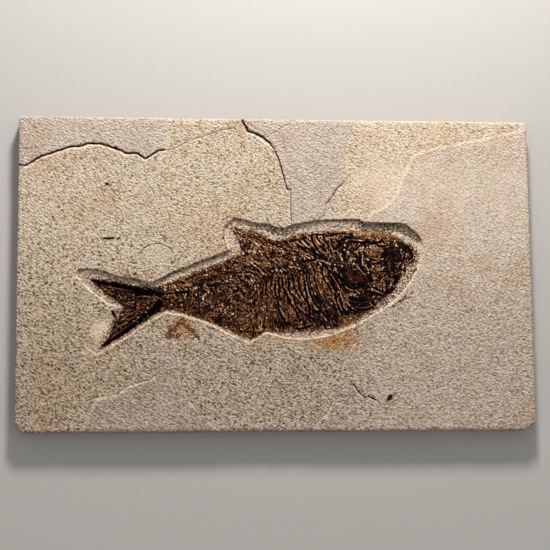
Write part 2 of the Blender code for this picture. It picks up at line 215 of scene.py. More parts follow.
# open cracks and hairlines: (half width, depth, darkness, points)
cracks = [
    (0.95, 0.9, 1.0, [(-228, 95.3), (-223, 94.7), (-216, 98.6), (-208, 103.6), (-198, 107), (-188, 110.6),
                      (-180, 112.6), (-175, 112.6), (-168, 115), (-160, 115.2), (-155, 114.8), (-147, 112),
                      (-140, 109.6), (-133, 106.6), (-129, 106.8), (-125, 107), (-121, 104.6), (-117, 102.3),
                      (-112, 105.2), (-106, 109.2), (-101, 110.3)]),
    (0.45, 0.1, 0.4, [(79, -43), (78, -50), (75, -56), (69, -62)]),
    (0.5, 0.25, 0.6, [(-101, 110.3), (-92, 111.5), (-82, 117), (-72, 121), (-60, 125), (-50, 129),
                      (-40, 130.5), (-34, 136)]),
    (1.2, 1.1, 1.0, [(-30.5, 138), (-26, 129), (-22, 127), (-15, 124), (-10, 120.5), (-5, 116)]),
    (0.75, 0.9, 0.95, [(-5, 116), (-1, 109), (2, 101), (4, 94), (6, 87), (8, 78.5), (9.8, 75.2),
                       (12, 75.3)]),
    (0.6, 0.35, 0.75, [(12, 75), (12, 62), (12.5, 47)]),
    (0.35, 0.3, 0.6, [(-28, 137.5), (-20, 131), (-13, 128), (-8, 123)]),
    (0.35, 0.3, 0.6, [(-7, 124.5), (-2, 127.5), (1, 128)]),
    (0.35, 0.3, 0.6, [(3, 131), (6, 133.3), (12, 134.5)]),
    (0.35, 0.25, 0.6, [(12, 87), (14, 85.5), (18, 86), (21, 83), (24, 80)]),
    (0.55, 0.5, 0.8, [(58, 79.5), (54, 77), (50, 70), (44, 62.5)]),
    (0.35, 0.25, 0.5, [(64, 87.5), (58, 80)]),
    (0.4, 0.25, 0.5, [(44, 62.5), (43, 56), (41, 51.5), (37, 48)]),
    (0.8, 0.5, 1.0, [(65, -98.5), (68, -102), (72, -107), (76, -110.5)]),
    (0.8, 0.5, 1.0, [(78.5, -109.5), (82, -111), (85, -112.2)]),
    (0.5, 0.3, 0.7, [(85, -112.2), (90, -117.5)]),
    (0.55, 0.15, 0.8, [(-122, 17), (-118, 21.5), (-110, 25.3), (-102, 25), (-95, 21.5), (-92.5, 17)]),
    (0.5, 0.2, 0.5, [(79, -44), (78, -52), (70, -62), (60.5, -77)]),
    (0.5, 0.1, 0.35, [(60.5, -77), (53, -94), (48, -117), (44, -131)]),
    (0.45, 0.1, 0.35, [(-90, -64), (-88.5, -91), (-84.5, -103), (-75, -117), (-62, -131)]),
    (0.45, 0.1, 0.3, [(-104, -66), (-105, -86), (-111, -94), (-131, -100), (-142, -108)]),
    (0.6, 0.3, 0.7, [(106, -27), (111, -23.5), (117, -22)]),
    (0.5, 0.3, 0.6, [(102.5, -30.5), (107, -28.5)]),
    (0.4, 0.3, 0.5, [(128, -30), (131, -32)]),
]

# dark specks on the stone: (x, y, half length, half width, slant in degrees, darkness)
specks = [
    (-151, 79, 0.4, 1.4, 0, 1), (-149, 30.2, 4.2, 1.1, 2, 1), (-140.5, 30, 1.2, 0.9, 35, 1),
    (-159, 30, 1.0, 0.6, 0, 0.7), (-155, 30, 0.6, 0.6, 0, 0.8), (-222, 110.5, 0.8, 0.8, 0, 0.8),
    (-217, 111.5, 1.2, 0.6, 60, 0.8), (-213.5, 111, 0.8, 0.7, 20, 0.8), (185, 131, 0.6, 0.8, 0, 0.8),
    (-49, 31, 0.9, 0.9, 40, 0.8), (97.5, -110.5, 2.2, 1.6, 50, 0.85), (102.3, -107.3, 1.6, 0.8, 40, 0.8),
    (-144.5, -36.5, 2.0, 1.4, 115, 1), (-143, -44, 1.5, 0.9, -25, 1), (-177, -87, 0.5, 0.9, 0, 0.7),
    (-187, 91, 0.5, 0.8, 0, 0.7), (163, -9, 0.8, 0.8, 0, 0.4), (191, 39, 0.8, 0.6, 0, 0.5),
    (-134, -92, 0.5, 0.7, 0, 0.6), (-207, -126, 0.5, 0.7, 0, 0.6), (92, 118, 1.0, 0.6, -30, 0.4),
    (127, 14, 0.8, 0.6, 0, 0.5), (108, -26, 1.6, 0.6, 20, 0.5), (103, -30, 1.2, 0.5, 15, 0.4),
]


# the slab's mesh

slabShape = {
    "thickness": slabHigh[2],
    "lowestLayer": slabHigh[2] - 0.87,  # top of the lowest layer on the face
    "wave": 0.12, "waveLength": 45,  # slow unevenness of the split
    "grain": 0.1, "grainSize": 3.2,  # scraped and weathered grain
    "ledge": 0.7,  # run of a broken layer's edge
    "trenchDepth": 2.5, "trenchWalls": (1.5, 7.4),  # run of the wall on its steep and its gentle side
    "rimDrop": (0.36, 0.13),  # share of the depth that falls within this share of the run
    "toolMark": 0.12, "toolMarkSize": 1.5, "scratch": 0.1, "scratchGap": 1.4,
    "wear": 1.1,  # worn arris round the face
    "outlineStep": 1.3, "step": 1.45, "fineStep": 0.85, "finestStep": 0.5,  # spacing of the net's points
    "pocketInset": 1.3,  # the stone runs this far in under the fish's edge
    "belt": 12,  # how near a sawn side a point counts as part of it
    "sawnBevel": 0.7,  # round the underside
}
trenchFloor = slabShape["lowestLayer"] - slabShape["trenchDepth"]
pocketFloor = fishLow[2] - 0.3
rimLine = cornered(trenchRim, 0.8)
rimLine = shifted(rimLine, 0.35 * rough(rimLine, 5, 3, 4.4) + 0.15 * rough(rimLine, 1.6, 1, 1.9))
fishLine = cornered(fishEdge, 0.8)
fishLine = shifted(fishLine, 0.45 * rough(fishLine, 3.5, 3, 7.1) - 0.1)
spineLine = smooth(backbone, 1)
layerLines = [smooth(edge, 1.5, closed=True) for edge in layerEdges]


def faceHeight(points):
    # the split face: its layers, slow waves and grain
    shape = slabShape
    height = shape["lowestLayer"] - shape["wave"] * (1 + rough(points, shape["waveLength"], 1, 0.5)) / 2
    for rise, line in zip(layerRises, layerLines, strict=True):
        height += rise * ease(0.5 + depthIn(points, line, 3) / shape["ledge"])
    height -= shape["grain"] * (0.6 - 0.6 * rough(points, shape["grainSize"], 3, 2.2)).clip(0, 1.2)
    return np.minimum(height, shape["thickness"])


def slabOutline(step):
    # the sawn sides: chipped corners and small losses, never outside the solid's box
    x, y = slabHigh[0], slabHigh[1]
    corners = np.array([(-x + 6.5, -y), (x - 10.5, -y), (x - 5, -y + 3), (x, -y + 6.5), (x, y - 2),
                        (x - 2, y), (-x + 1.3, y), (-x, y - 1.3), (-x, -y + 8), (-x + 2.5, -y + 5)])
    line = []
    for a, b in zip(corners, np.roll(corners, -1, axis=0), strict=True):
        count = max(1, round(np.linalg.norm(b - a) / step))
        line += [a + (b - a) * i / count for i in range(count)]
    line = np.array(line)
    rugged = np.where(line[:, 1] < -y + 10, 0.9, 0.4)  # the lower side is the roughest
    loss = rugged * np.clip(rough(line, 9, 3, 3.7), 0, 1) + 0.25 * np.clip(rough(line, 2.5, 1, 8.2), 0, 1)
    return shifted(line, -loss)


def joined(rings, loose):
    # every point in one list, and the edges along the rings
    points, edges = [], []
    for line, closed in rings:
        start, count = len(points), len(line)
        points += [Vector(p) for p in line]
        edges += [(start + i, start + i + 1) for i in range(count - 1)]
        if closed:
            edges.append((start + count - 1, start))
    return points + [Vector(p) for p in loose], edges


def triangles(rings, loose):
    # a flat triangle net over everything inside the first ring
    points, edges = joined(rings, loose)
    flat, _, faces = delaunay_2d_cdt(points, edges, [], 1, 1e-5)[:3]
    flat, faces = np.array([tuple(p) for p in flat]), np.array(faces)
    used = np.zeros(len(flat), bool)
    used[faces] = True
    return flat[used], (np.cumsum(used) - 1)[faces]


def meshOf(name, points, faces, layers=None):
    data = bpy.data.meshes.new(name)
    data.from_pydata((np.asarray(points) * mm).tolist(), [], [tuple(face) for face in faces])
    for label, values in (layers or {}).items():
        data.attributes.new(label, "FLOAT", "POINT").data.foreach_set("value", np.asarray(values, np.float32))
    piece = bpy.data.objects.new(name, data)
    bpy.context.collection.objects.link(piece)
    return piece


def alongRing(ring):
    # how far round its ring each vertex lies, and the whole way
    unused, along, far = set(ring), {}, 0.0
    for start in ring:
        at, edge = start.verts[0], start if start in unused else None
        while edge:
            along.setdefault(at, far)
            unused.remove(edge)
            at = edge.other_vert(at)
            far += edge.calc_length()
            along.setdefault(at, far)
            edge = next((e for e in at.link_edges if e in unused), None)
    return along, far


# the map for baking, in shares of its width; walls are unrolled in rows and undersides drawn small
bakeMap = {"width": 0.98, "edge": 0.01, "gap": 0.012, "rowLength": 0.95, "underside": 0.26}


def closeUnder(piece, drops, sharp=40):
    # walls down from each open ring, then a flat floor: drops(middle of ring edge) lists heights and insets.
    # The map for baking shows the face from above, then its walls in rows, then the undersides
    mesh = bmesh.new()
    mesh.from_mesh(piece.data)
    uv = mesh.loops.layers.uv.new("OFBake")
    places = np.array([v.co[:2] for v in mesh.verts])
    low, size = Vector(places.min(axis=0)), np.ptp(places, axis=0)
    scale, edge, gap = bakeMap["width"] / size[0], bakeMap["edge"], bakeMap["gap"]
    for face in mesh.faces:
        for loop in face.loops:
            loop[uv].uv = (Vector(loop.vert.co[:2]) - low) * scale + Vector((edge, edge))
    row, column = edge + scale * size[1] + gap, edge
    floors, groups = [], {}
    for e in mesh.edges:
        if len(e.link_faces) == 1:
            groups.setdefault(drops((e.verts[0].co + e.verts[1].co) / 2 / mm), []).append(e)
    for levels, ring in groups.items():
        along, far = alongRing(ring)
        top, length = max(v.co.z for v in along), bakeMap["rowLength"] / scale
        for level, inset in levels:
            made = bmesh.ops.extrude_edge_only(mesh, edges=ring)["geom"]
            ring = [e for e in made if isinstance(e, bmesh.types.BMEdge)]
            corners = [v for v in made if isinstance(v, bmesh.types.BMVert)]
            for v in corners:
                along[v] = next(along[o] for o in (e.other_vert(v) for e in v.link_edges)
                                if o in along and (o.co - v.co).length < 1e-9)
            for v in corners:
                v.co.z = level * mm
                for axis in (0, 1):
                    nearSide = abs(v.co[axis]) / mm > slabHigh[axis] - slabShape["belt"]
                    v.co[axis] -= math.copysign(inset * mm, v.co[axis]) * nearSide
            for face in made:
                if isinstance(face, bmesh.types.BMFace):
                    ways = [along[v] for v in face.verts]
                    ways = [way + far * (max(ways) - way > far / 2) for way in ways]
                    turn = min(ways) // length
                    for loop, way in zip(face.loops, ways, strict=True):
                        down = top - loop.vert.co.z + turn * (top - levels[-1][0] * mm + gap / scale)
                        loop[uv].uv = (edge + (way - turn * length) * scale, row + down * scale)
        floors += bmesh.ops.contextual_create(mesh, geom=ring)["faces"]
        row += (far // length + 1) * ((top - levels[-1][0] * mm) * scale + gap)
    for face in floors:
        for loop in face.loops:
            place = (Vector(loop.vert.co[:2]) - low) * scale * bakeMap["underside"]
            loop[uv].uv = place + Vector((column, row))
        column += scale * size[0] * bakeMap["underside"] + gap
    bmesh.ops.recalc_face_normals(mesh, faces=mesh.faces)
    mesh.to_mesh(piece.data)
    mesh.free()
    piece.data.shade_smooth()
    piece.data.set_sharp_from_angle(angle=math.radians(sharp))


def wallRuns():
    # how far the trench wall runs in from each rim point: the side under the fish's back is a long chamfer
    facing = (shifted(rimLine, 1) - rimLine)[:, 1]
    steep, gentle = slabShape["trenchWalls"]
    runs = steep + (gentle - steep) * ease((facing - 0.1) / 0.7)
    besideTail = np.hypot((rimLine[:, 0] + 160) / 24, (rimLine[:, 1] + 45) / 17) < 1
    runs[besideTail] = 9  # a soft edge beside the lower tail lobe
    runs = np.convolve(np.concatenate([runs[-4:], runs, runs[:4]]), np.ones(9) / 9, "valid")
    return np.minimum(runs, 0.62 * distance(rimLine, fishLine, 12))


def nearestRun(points, runs):
    # the wall's run at the rim point nearest to each point
    tree = KDTree(len(rimLine))
    for i, (x, y) in enumerate(rimLine):
        tree.insert((x, y, 0), i)
    tree.balance()
    return np.array([runs[tree.find((x, y, 0))[1]] for x, y in points])


def wallProfile(share):
    # a sharp first drop, then an even slope to the floor
    drop, lip = slabShape["rimDrop"]
    return drop * ease(share / lip) + (1 - drop) * ease(0.5 + 0.5 * np.clip(share, 0, 1)) * 2 - (1 - drop)


def crackLines():
    # the cracks with large and small bends; each bends in its own way by its place in the list
    made = [jagged(smooth(line, 0.7), 0.45, 4, 3.1 * i) for i, (_, _, _, line) in enumerate(cracks)]
    return [jagged(line, 0.25, 1.3, 1.7 * i) for i, line in enumerate(made)]


def slabNet(outline, runs, crackPaths):
    # a flat net over the face, open where the fish lies, with lines along the edges, walls and cracks
    shape = slabShape
    rings = [(outline, True)] + [(shifted(outline, -inset), True) for inset in (0.35, shape["wear"])]
    rings += [(shifted(rimLine, -share * runs), True) for share in (-0.05, 0.15, 0.5, 1)]
    pocket = shifted(fishLine, -shape["pocketInset"])
    rings.append((pocket, True))
    for (half, _, _, _), line in zip(cracks, crackPaths, strict=True):
        rings += [(shifted(line, side * half, closed=False), False) for side in (-1.3, -0.5, 0.3, 1.1)]
    # coarse points on the face, finer ones in the trench and the finest beside the fish
    loose = honeycomb(-slabHigh[:2], slabHigh[:2], shape["step"])
    loose = loose[distance(loose, outline, 2) > shape["wear"] + 0.6]
    loose = loose[depthIn(loose, rimLine, 4) < -2.2]
    close = honeycomb(rimLine.min(axis=0) - 3, rimLine.max(axis=0) + 3, shape["fineStep"])
    close = close[(depthIn(close, rimLine, 4) > -2.2) & ~inside(close, pocket)]
    close = close[-depthIn(close, fishLine, 4) > 2.4]
    tight = honeycomb(fishLine.min(axis=0) - 3, fishLine.max(axis=0) + 3, shape["finestStep"])
    beyond = -depthIn(tight, fishLine, 4)
    tight = tight[(beyond > -1.2) & (beyond < 2.4) & (depthIn(tight, rimLine, 4) > 0)]
    edges = [shifted(line, side) for line in layerLines for side in (-0.5, 0.5)]
    edges = np.vstack([smooth(line, 0.9, closed=True) for line in edges])
    edges = edges[(depthIn(edges, outline, 3) > 1.8) & (depthIn(edges, rimLine, 3) < -1)]
    loose = loose[distance(loose, edges, 1.5, closed=False) > 0.8]
    loose = [clearOf(np.vstack([loose, close, tight, edges]), rings[3:], 0.4)]
    for x, y, half, wide, _, _ in specks:
        place = np.array((x, y))
        loose.append(honeycomb(place - half - wide, place + half + wide, shape["finestStep"]))
    flat, faces = triangles(rings, np.vstack(loose))
    return flat, faces[~inside(flat[faces].mean(axis=1), pocket)]


def slabHeight(points, depth, run, outline):
    # the split face with the trench cut into it, tool marks on its walls and a worn edge all round
    shape = slabShape
    x, y = points.T
    besideTail = ease(1.7 - np.hypot((x + 159) / 13, (y + 45) / 12))
    share = wallProfile(depth / run) * (1 - 0.9 * besideTail * ease((-depthIn(points, fishLine, 6) - 1) / 3))
    floor = trenchFloor + shape["toolMark"] * rough(points, shape["toolMarkSize"], 2, 5.5)
    height = faceHeight(points) * (1 - share) + floor * share
    scratch = np.sin(depth * 2 * math.pi / shape["scratchGap"] + 2.5 * rough(points, 9, 2, 2.7))
    height += shape["scratch"] * scratch * (share > 0) * (1 - abs(2 * share - 1) ** 6)
    edge = distance(points, outline, 4)
    height -= shape["wear"] * (1 - ease(edge / shape["wear"])) ** 2 * 0.9
    height -= 0.25 * (1 - ease(edge / 4)) * (1 + rough(points, 6, 2, 9.1))
    return height


def crackMarks(points, crackPaths):
    # how deep the cracks cut, how dark they and the specks are, and the pale lip below each crack, a painted
    # highlight
    deep, dark, lip = np.zeros((3, len(points)))
    vary = 1 + 0.6 * rough(points, 3, 2, 7.7)
    for (half, cut, shade, _), line in zip(cracks, crackPaths, strict=True):
        gap = distance(points, line, 2, closed=False)
        deep += cut * np.clip(1 - gap / (1.3 * half), 0, 1)
        # each crack's dark line sits towards its upper wall: its own dark fill and painted shade
        gap = distance(points, line + (0, 0.2 * half), 3, closed=False)
        dark = np.maximum(dark, shade * ease((half * vary - gap) / (half * 0.5)))
        # painted highlight on the lower wall, which faces the lamp
        gap = distance(points, line - (0, 1.35 * half), 3, closed=False)
        lip = np.maximum(lip, shade * ease((0.75 * half * vary - gap) / 0.4) * (dark < 0.3))
    ragged = raggedness(points)
    for x, y, half, wide, slant, shade in specks:
        lean = half * np.array((math.cos(math.radians(slant)), math.sin(math.radians(slant))))
        gap = distance(points, np.array([(x, y) - lean, (x, y) + lean]), 4, closed=False)
        dark = np.maximum(dark, shade * ease((wide * (1.15 + ragged) - gap) / 0.5))
    return deep, dark, lip


def raggedness(points):
    # the fine unevenness that the marks on the stone share
    return 0.3 * rough(points, 1.5, 1, 5)


def seamHighlightAndScarMask(points, lip, scar):
    # painted highlight along the layers' broken edges and below the cracks, stronger low on the face, and a
    # little pale stone on the scar
    made = np.zeros(len(points))
    ragged, broken = raggedness(points), (0.65 + 0.9 * rough(points, 14, 2, 3.9)).clip(0.2, 1)
    for line in layerLines:
        made = np.maximum(made, ease((0.9 + 0.3 * ragged - distance(points, line, 2)) / 0.6) * broken)
    made *= np.interp(points[:, 1], (-60, 30), (1, 0.5))
    return np.maximum(0.85 * made, np.maximum(0.55 * lip, 0.2 * scar)).clip(0, 1)


def brownMask(points, depth, wall, behindFin, streak):
    # fossil brown on the stone: the fish's stained edge and throat, scraps of fin, the trench floor near it
    x, y = points.T
    nearFish = depthIn(points, fishLine, 9)
    made = ease((nearFish + 2.2 + 1.5 * rough(points, 2, 3, 3.3)) / 2.2)
    throat = ease((x - 50) / 30) * ease((22 - y) / 12) * ease(depth / 1.5) * ease(-nearFish / 0.5)
    made = np.maximum(made, (0.55 + 0.8 * streak).clip(0, 0.85) * throat)
    made = np.maximum(made, finRemnant(points))
    made = np.maximum(made, 0.75 * behindFin * ease((1.4 + raggedness(points) - abs(depth + 0.2)) / 1.2))
    fringe = 0.55 + 0.15 * ease((-100 - x) / 20) + 0.15 * ease((x - 55) / 30)
    fringe *= (1.15 + nearFish / 8).clip(0.25, 1)
    made = np.maximum(made, fringe * (nearFish < 0.5) * ease((depth - 0.4) / 1.5) * (1 - wall))
    fromChip = np.hypot(x - 97.8, y + 110.6)  # a brown chip low on the face
    return np.maximum(made, 0.95 * ease((3 - fromChip) / 0.8)).clip(0, 1)


def paleCutAndHighlightMask(points, depth, gentle, wall, behindFin, streak):
    # pale fresh cuts as patches in the trench, and a painted highlight as a broken line along its steep
    # walls, which face the lamp
    made = (0.22 + 0.3 * rough(points, 2.5, 2, 1.2)).clip(0, 1) * ease((depth + 0.3) / 1.2)
    rim = (0.7 + 0.6 * rough(points, 5, 3, 2.4)).clip(0.2, 0.95) * (1 - gentle)
    rim *= 1 - 0.5 * ease((points[:, 0] - 70) / 25) * (0.5 + streak).clip(0, 1)
    # the painted highlight runs on along the lit wall behind the back fin
    rim = np.maximum(rim, 0.9 * behindFin)
    rim *= ease((depth + 0.4) / 0.5) * ease((1.7 + 2 * raggedness(points) - depth) / 0.7)
    return np.maximum(made, rim) * (1 - wall)


def stoneMasks(points, depth, run, dark, lip):
    # where the stone is dark, grey, stained and so on, for its material, and where shade and highlights are
    # painted on it
    x, y = points.T
    gentle = ease((run - 2.6) / 2)
    wall = gentle * wallShade(points, depth)
    grey = sum(share * ease(0.5 + depthIn(points, line, 3) / 1.6)
               for share, line in zip(layerGreys, layerLines, strict=True))
    scar = ease(2.4 - 2.2 * np.hypot((x + 106.7) / 13, (y - 15.6) / 9.7))  # where a flake came off
    seamHighlightAndScar = seamHighlightAndScarMask(points, lip, scar)
    streak = rough(np.column_stack([0.8 * x + 0.6 * y, 4 * (0.8 * y - 0.6 * x)]), 4, 3, 9.9)
    behindFin = ease(1.5 - np.hypot((x + 46) / 8, (y - 33) / 13))  # the back fin's trailing edge
    return {"dark": dark, "grey": (grey + scar).clip(0, 1), "orange": stained(points).clip(0, 1),
            "brown": brownMask(points, depth, wall, behindFin, streak),
            "cut": paleCutAndHighlightMask(points, depth, gentle, wall, behindFin, streak),
            # the painted shade on the trench wall also takes darker pits
            "coarse": np.maximum(coarseness(points, depth) * (1 - 0.6 * seamHighlightAndScar), 1.3 * wall),
            "seamHighlightAndScar": seamHighlightAndScar, "wall": wall}


def slabDrops(point):
    # heights and insets of the sawn sides, or of the pocket under the fish
    if abs(point.x) > slabHigh[0] - slabShape["belt"] or abs(point.y) > slabHigh[1] - slabShape["belt"]:
        return (10.5, 0), (5.5, 0), (slabShape["sawnBevel"], 0), (0, slabShape["sawnBevel"])
    return ((pocketFloor, 0),)


def makeSlab():
    outline, runs, crackPaths = slabOutline(slabShape["outlineStep"]), wallRuns(), crackLines()
    flat, faces = slabNet(outline, runs, crackPaths)
    depth, run = depthIn(flat, rimLine, 14), np.ones(len(flat))
    run[depth > 0] = nearestRun(flat[depth > 0], runs)
    deep, dark, lip = crackMarks(flat, crackPaths)
    height = slabHeight(flat, depth, run, outline) - deep * (depth < 0)
    piece = meshOf("limestone_slab", np.column_stack([flat, height]), faces,
                   stoneMasks(flat, depth, run, dark, lip))
    closeUnder(piece, slabDrops)
    # faint beds show on the sawn sides too
    below = np.array([v.co.z for v in piece.data.vertices]) < 11 * mm
    wall = np.zeros(len(below), np.float32)
    piece.data.attributes["wall"].data.foreach_get("value", wall)
    wall[below] = 0.6
    piece.data.attributes["wall"].data.foreach_set("value", wall)
    return piece


def wallShade(points, depth):
    # painted shade on the trench wall along the fish's back, which faces away from the lamp, streaked like
    # cut beds: its width and darkness change along the rim
    x = points[:, 0]
    wide = np.interp(x, (-176, -150, -110, -95, -60, -43, -30, -6, 9, 30, 110, 124, 131),
                     (1.6, 2.3, 3.0, 3.8, 5.2, 5.2, 4.8, 6.8, 7.0, 8.6, 8.2, 5.6, 3.0))
    shade = np.interp(x, (-176, -150, -110, -95, -60, -42, -30, -6, 8, 20, 36, 68, 78, 112, 126, 132),
                      (0.6, 0.9, 0.95, 0.65, 0.6, 0.6, 0.45, 0.9, 0.9, 0.6, 0.5, 0.55, 0.95, 0.95, 0.8, 0.5))
    ragged = rough(points, 1.8, 3, 6.9)
    # a darker ragged line just below the rim: painted shadow under the rim's sharp first drop
    shade = shade * (1 + 0.8 * ragged) + 0.4 * ease((0.9 - abs(depth - 0.6 - 0.6 * ragged)) / 0.6)
    made = shade.clip(0, 1) * ease((depth + 0.25) / 0.5) * ease((wide * (1 + 0.35 * ragged) - depth) / 0.7)
    return made * (1 - ease(1.6 - np.hypot((x + 158) / 17, (points[:, 1] + 46) / 17)))


def coarseness(points, depth):
    # the grain is coarsest low on the left, finest on the upper right layer and in the scraped trench
    x, y = points.T
    left, right = 1.7 - 0.85 * ease((y + 90) / 150), 1.2 - 0.85 * ease((y + 70) / 160)
    right += 0.25 * ease((y - 90) / 25)
    share = ease((x - 40) / 60 + 0.3 * rough(points, 30, 1, 4))
    made = left + (right - left) * share
    made -= 1.1 * ease(1.4 - np.hypot((x + 155) / 11, (y + 50) / 14))  # scraped smooth beside the tail
    return np.clip(made - 0.1 * ease(depth / 2), 0.2, 2.0)


# iron stain, strong below the belly and weaker round it and low on the left: (strength, centre, size)
ironStains = [
    (0.75, (45, -62), (20, 11)), (0.6, (62, -59), (17, 14)), (0.25, (5, -61), (32, 5)),
    (0.12, (-185, -75), (70, 80)), (0.3, (-56, 21), (9, 6)), (0.2, (-40, 52), (14, 10)),
    (0.75, (-86, -49), (17, 10)), (0.3, (-112, -38), (16, 7)), (0.3, (-125, -2), (24, 5)),
    (0.08, (-200, -110), (45, 40)), (0.12, (-60, 40), (60, 40)),
]


def stained(points):
    # soft blotches with ragged edges
    ragged = 0.35 * rough(points, 7, 3, 6.6)
    made = np.zeros(len(points))
    for strength, centre, size in ironStains:
        gap = np.linalg.norm((points - centre) / size, axis=1)
        made += strength * ease(1.15 - gap + ragged)
    return made


def finRemnant(points):
    # the brown scraps of a fin outside the trench
    ragged = rough(points, 2, 3, 12.3)
    made = np.zeros(len(points))
    for line in ([(-99, -56), (-92, -50), (-84, -42)], [(-86, -44), (-78, -50), (-72, -56)],
                 [(-98, -57), (-87, -56)]):
        gap = distance(points, np.array(line, float), 9, closed=False)
        scrap = 0.85 * ease(1.15 - gap / 4 + 0.9 * ragged) * ease((8.8 - gap) / 3)
        made = np.maximum(made, scrap)
    for line in ([(-150, -70.5), (-134, -61.5)], [(102, -30), (112, -22), (120, -17)]):
        gap = distance(points, np.array(line, float), 6, closed=False)
        made = np.maximum(made, 0.65 * ease(1.1 - gap / 2.2 + 0.9 * ragged))
    return made


# the fish

fishShape = {
    "lip": 0.25,  # edge of the fossil above the trench floor
    "swell": 1.55, "slope": 11,  # how far and how soon the body rises
    "border": (0.6, 0.7, 2.2),  # scraps of bone beyond the edge: how far, how uneven, how far at most
    "step": 0.45,
    "fine": 0.12, "fineSize": 0.9,
    "splinters": 18000,
    "thinBone": [(0, 0.95)],  # one strand: its place across the bone and its share of the width
    "broadBone": [(-0.65, 0.3), (0, 0.3), (0.65, 0.3)],  # a bundle of thinner ones
    "sliver": 0.48,  # share of a bone's length with pale slivers beside it
}


def bodyHeight(points):
    # the fish's surface, without its splinters
    shape = fishShape
    inset = distance(points, fishLine, shape["slope"]) * inside(points, fishLine)
    return trenchFloor + shape["lip"] + shape["swell"] * ease(inset / shape["slope"])


def scrapLine():
    # the ragged outer limit of the bone scraps, widest along the back and under the throat
    x, y = fishLine.T
    even, uneven, wide = fishShape["border"]
    back, throat = (y > 20) & (x > 8) & (x < 110), (y < -28) & (x > 52) & (x < 92)
    far = even + (wide - even) * np.convolve(back | throat, np.ones(9) / 9, "same")
    tailTips = np.array([(-164, -6), (-133.5, -30), (-153.5, -65)], float)
    hind = distance(fishLine, tailTips, 9, closed=False) < 2.5
    return shifted(fishLine, far + (uneven + 0.4 * hind) * rough(fishLine, 2.2, 3, 2.6))


bodyLine = scrapLine()


def onSpine(x):
    return np.array((x, np.interp(x, spineLine[:, 0], spineLine[:, 1])))


# where the bones crowd or thin out: (share of black splinters, of pale ones, how solid, outline)
areas = [
    (0.79, 0.21, 0.0, [(56, 35), (68, 34), (78, 31), (100, 31), (106, 28), (118, 28), (123, 22), (122, 12),
                       (115, 9), (115, 0), (108, -6), (103, -15), (93, -22), (88, -30), (80, -34), (68, -37),
                       (58, -37), (50, -30), (48, -18), (44, -8), (43, 1), (46, 9), (50, 14), (52, 24)]),
    (0.3, 0.06, 0, [(79, 22), (84, 25), (92, 23), (94, 17), (88, 13), (80, 13)]),
    (0.2, 0.1, 0, [(66, 39), (104, 39), (112, 31), (104, 29.5), (98, 32), (80, 32), (68, 33)]),
    (0.35, 0.1, 0, [(60, -17), (67, -16), (70, -21), (64, -27), (56, -27), (53, -20)]),
    (0.45, 0.08, 0, [(86, -8), (100, -7), (101, -13.5), (90, -13)]),
    (0.4, 0.08, 0, [(84, 8), (96, 7), (96, 0), (86, 0)]),
    (0.9, 0.04, 0.45, [(62, -22), (72, -21), (83, -22), (88, -26), (86, -30), (76, -33), (66, -31)]),
    (0.85, 0.07, 0.4, [(97, 22), (106, 24), (112, 18), (110, 10), (104, 6), (96, 10), (92, 14)]),
    (0.85, 0.06, 0.4, [(56, 4), (66, 8), (74, 2), (80, -8), (80, -15), (66, -14), (56, -8)]),
    (0.97, 0.0, 0.7, [(57, 35), (67, 35.3), (68, 31.5), (60, 30.5)]),
    (0.58, 0.14, 0.05, [(-104, -13), (-90, -13), (-80, -12), (-70, -9), (-60, -8.5), (-48, -6.5),
                        (-38, -3.5), (-26, 0), (-14, 6), (-4, 6), (-4, -3), (-14, -8), (-26, -13),
                        (-40, -18), (-60, -19), (-80, -20.5), (-104, -21.5)]),
    (0.68, 0.15, 0, [(-4, 6), (12, 9), (28, 13), (44, 16), (44, 6), (30, 1), (12, -2), (-4, -4)]),
    (0.72, 0.05, 0.1, [(24, -33), (40, -28), (50, -30), (54, -46), (40, -47), (26, -43)]),
    (0.85, 0.0, 0.35, [(0, -41), (4, -40.5), (8, -44), (7, -49), (2, -49)]),
    (0.8, 0.0, 0.2, [(-58, -40), (-52, -39.5), (-49, -43), (-52, -45.5), (-57, -43.5)]),
    (0.24, 0.24, 0, [(-40, 42), (-28, 38), (-8, 31), (0, 24), (-14, 18), (-34, 18)]),
    (0.7, 0.03, 0.1, [(-26, 34), (-14, 34), (-5, 29), (8, 29), (12, 31), (12, 27), (2, 24), (-10, 26),
                      (-22, 30)]),
    (0.86, 0.03, 0.35, [(-163, -6.5), (-150, -7.7), (-140, -9), (-130, -11), (-120, -13.3), (-108, -13.8),
                        (-102, -14), (-101, -19.5), (-104, -21.5), (-112, -21), (-120, -19.5), (-128, -17),
                        (-136, -14), (-146, -12.5), (-156, -10)]),
    (0.84, 0.06, 0.35, [(-101, -23), (-103.5, -33), (-110, -37), (-116, -41), (-122, -45), (-130, -50.5),
                        (-138, -55.5), (-146, -60.5), (-153, -64.5), (-150, -60.5), (-144, -56.5),
                        (-138, -50.5), (-132, -45), (-127, -40), (-121, -36.5), (-113, -33), (-108, -27.5)]),
    (0.38, 0.22, 0, [(-108, -13), (-96, -10.5), (-84, -8), (-80, -22), (-98, -26), (-103, -24)]),
]
# two rusty patches on the gill cover
rustyPlates = [[(62, 1), (67, 2), (67.5, -3), (68, -8), (64, -8), (62, -4)],
               [(69, -1), (75, -1.5), (77, -5), (74, -9), (70, -6)]]

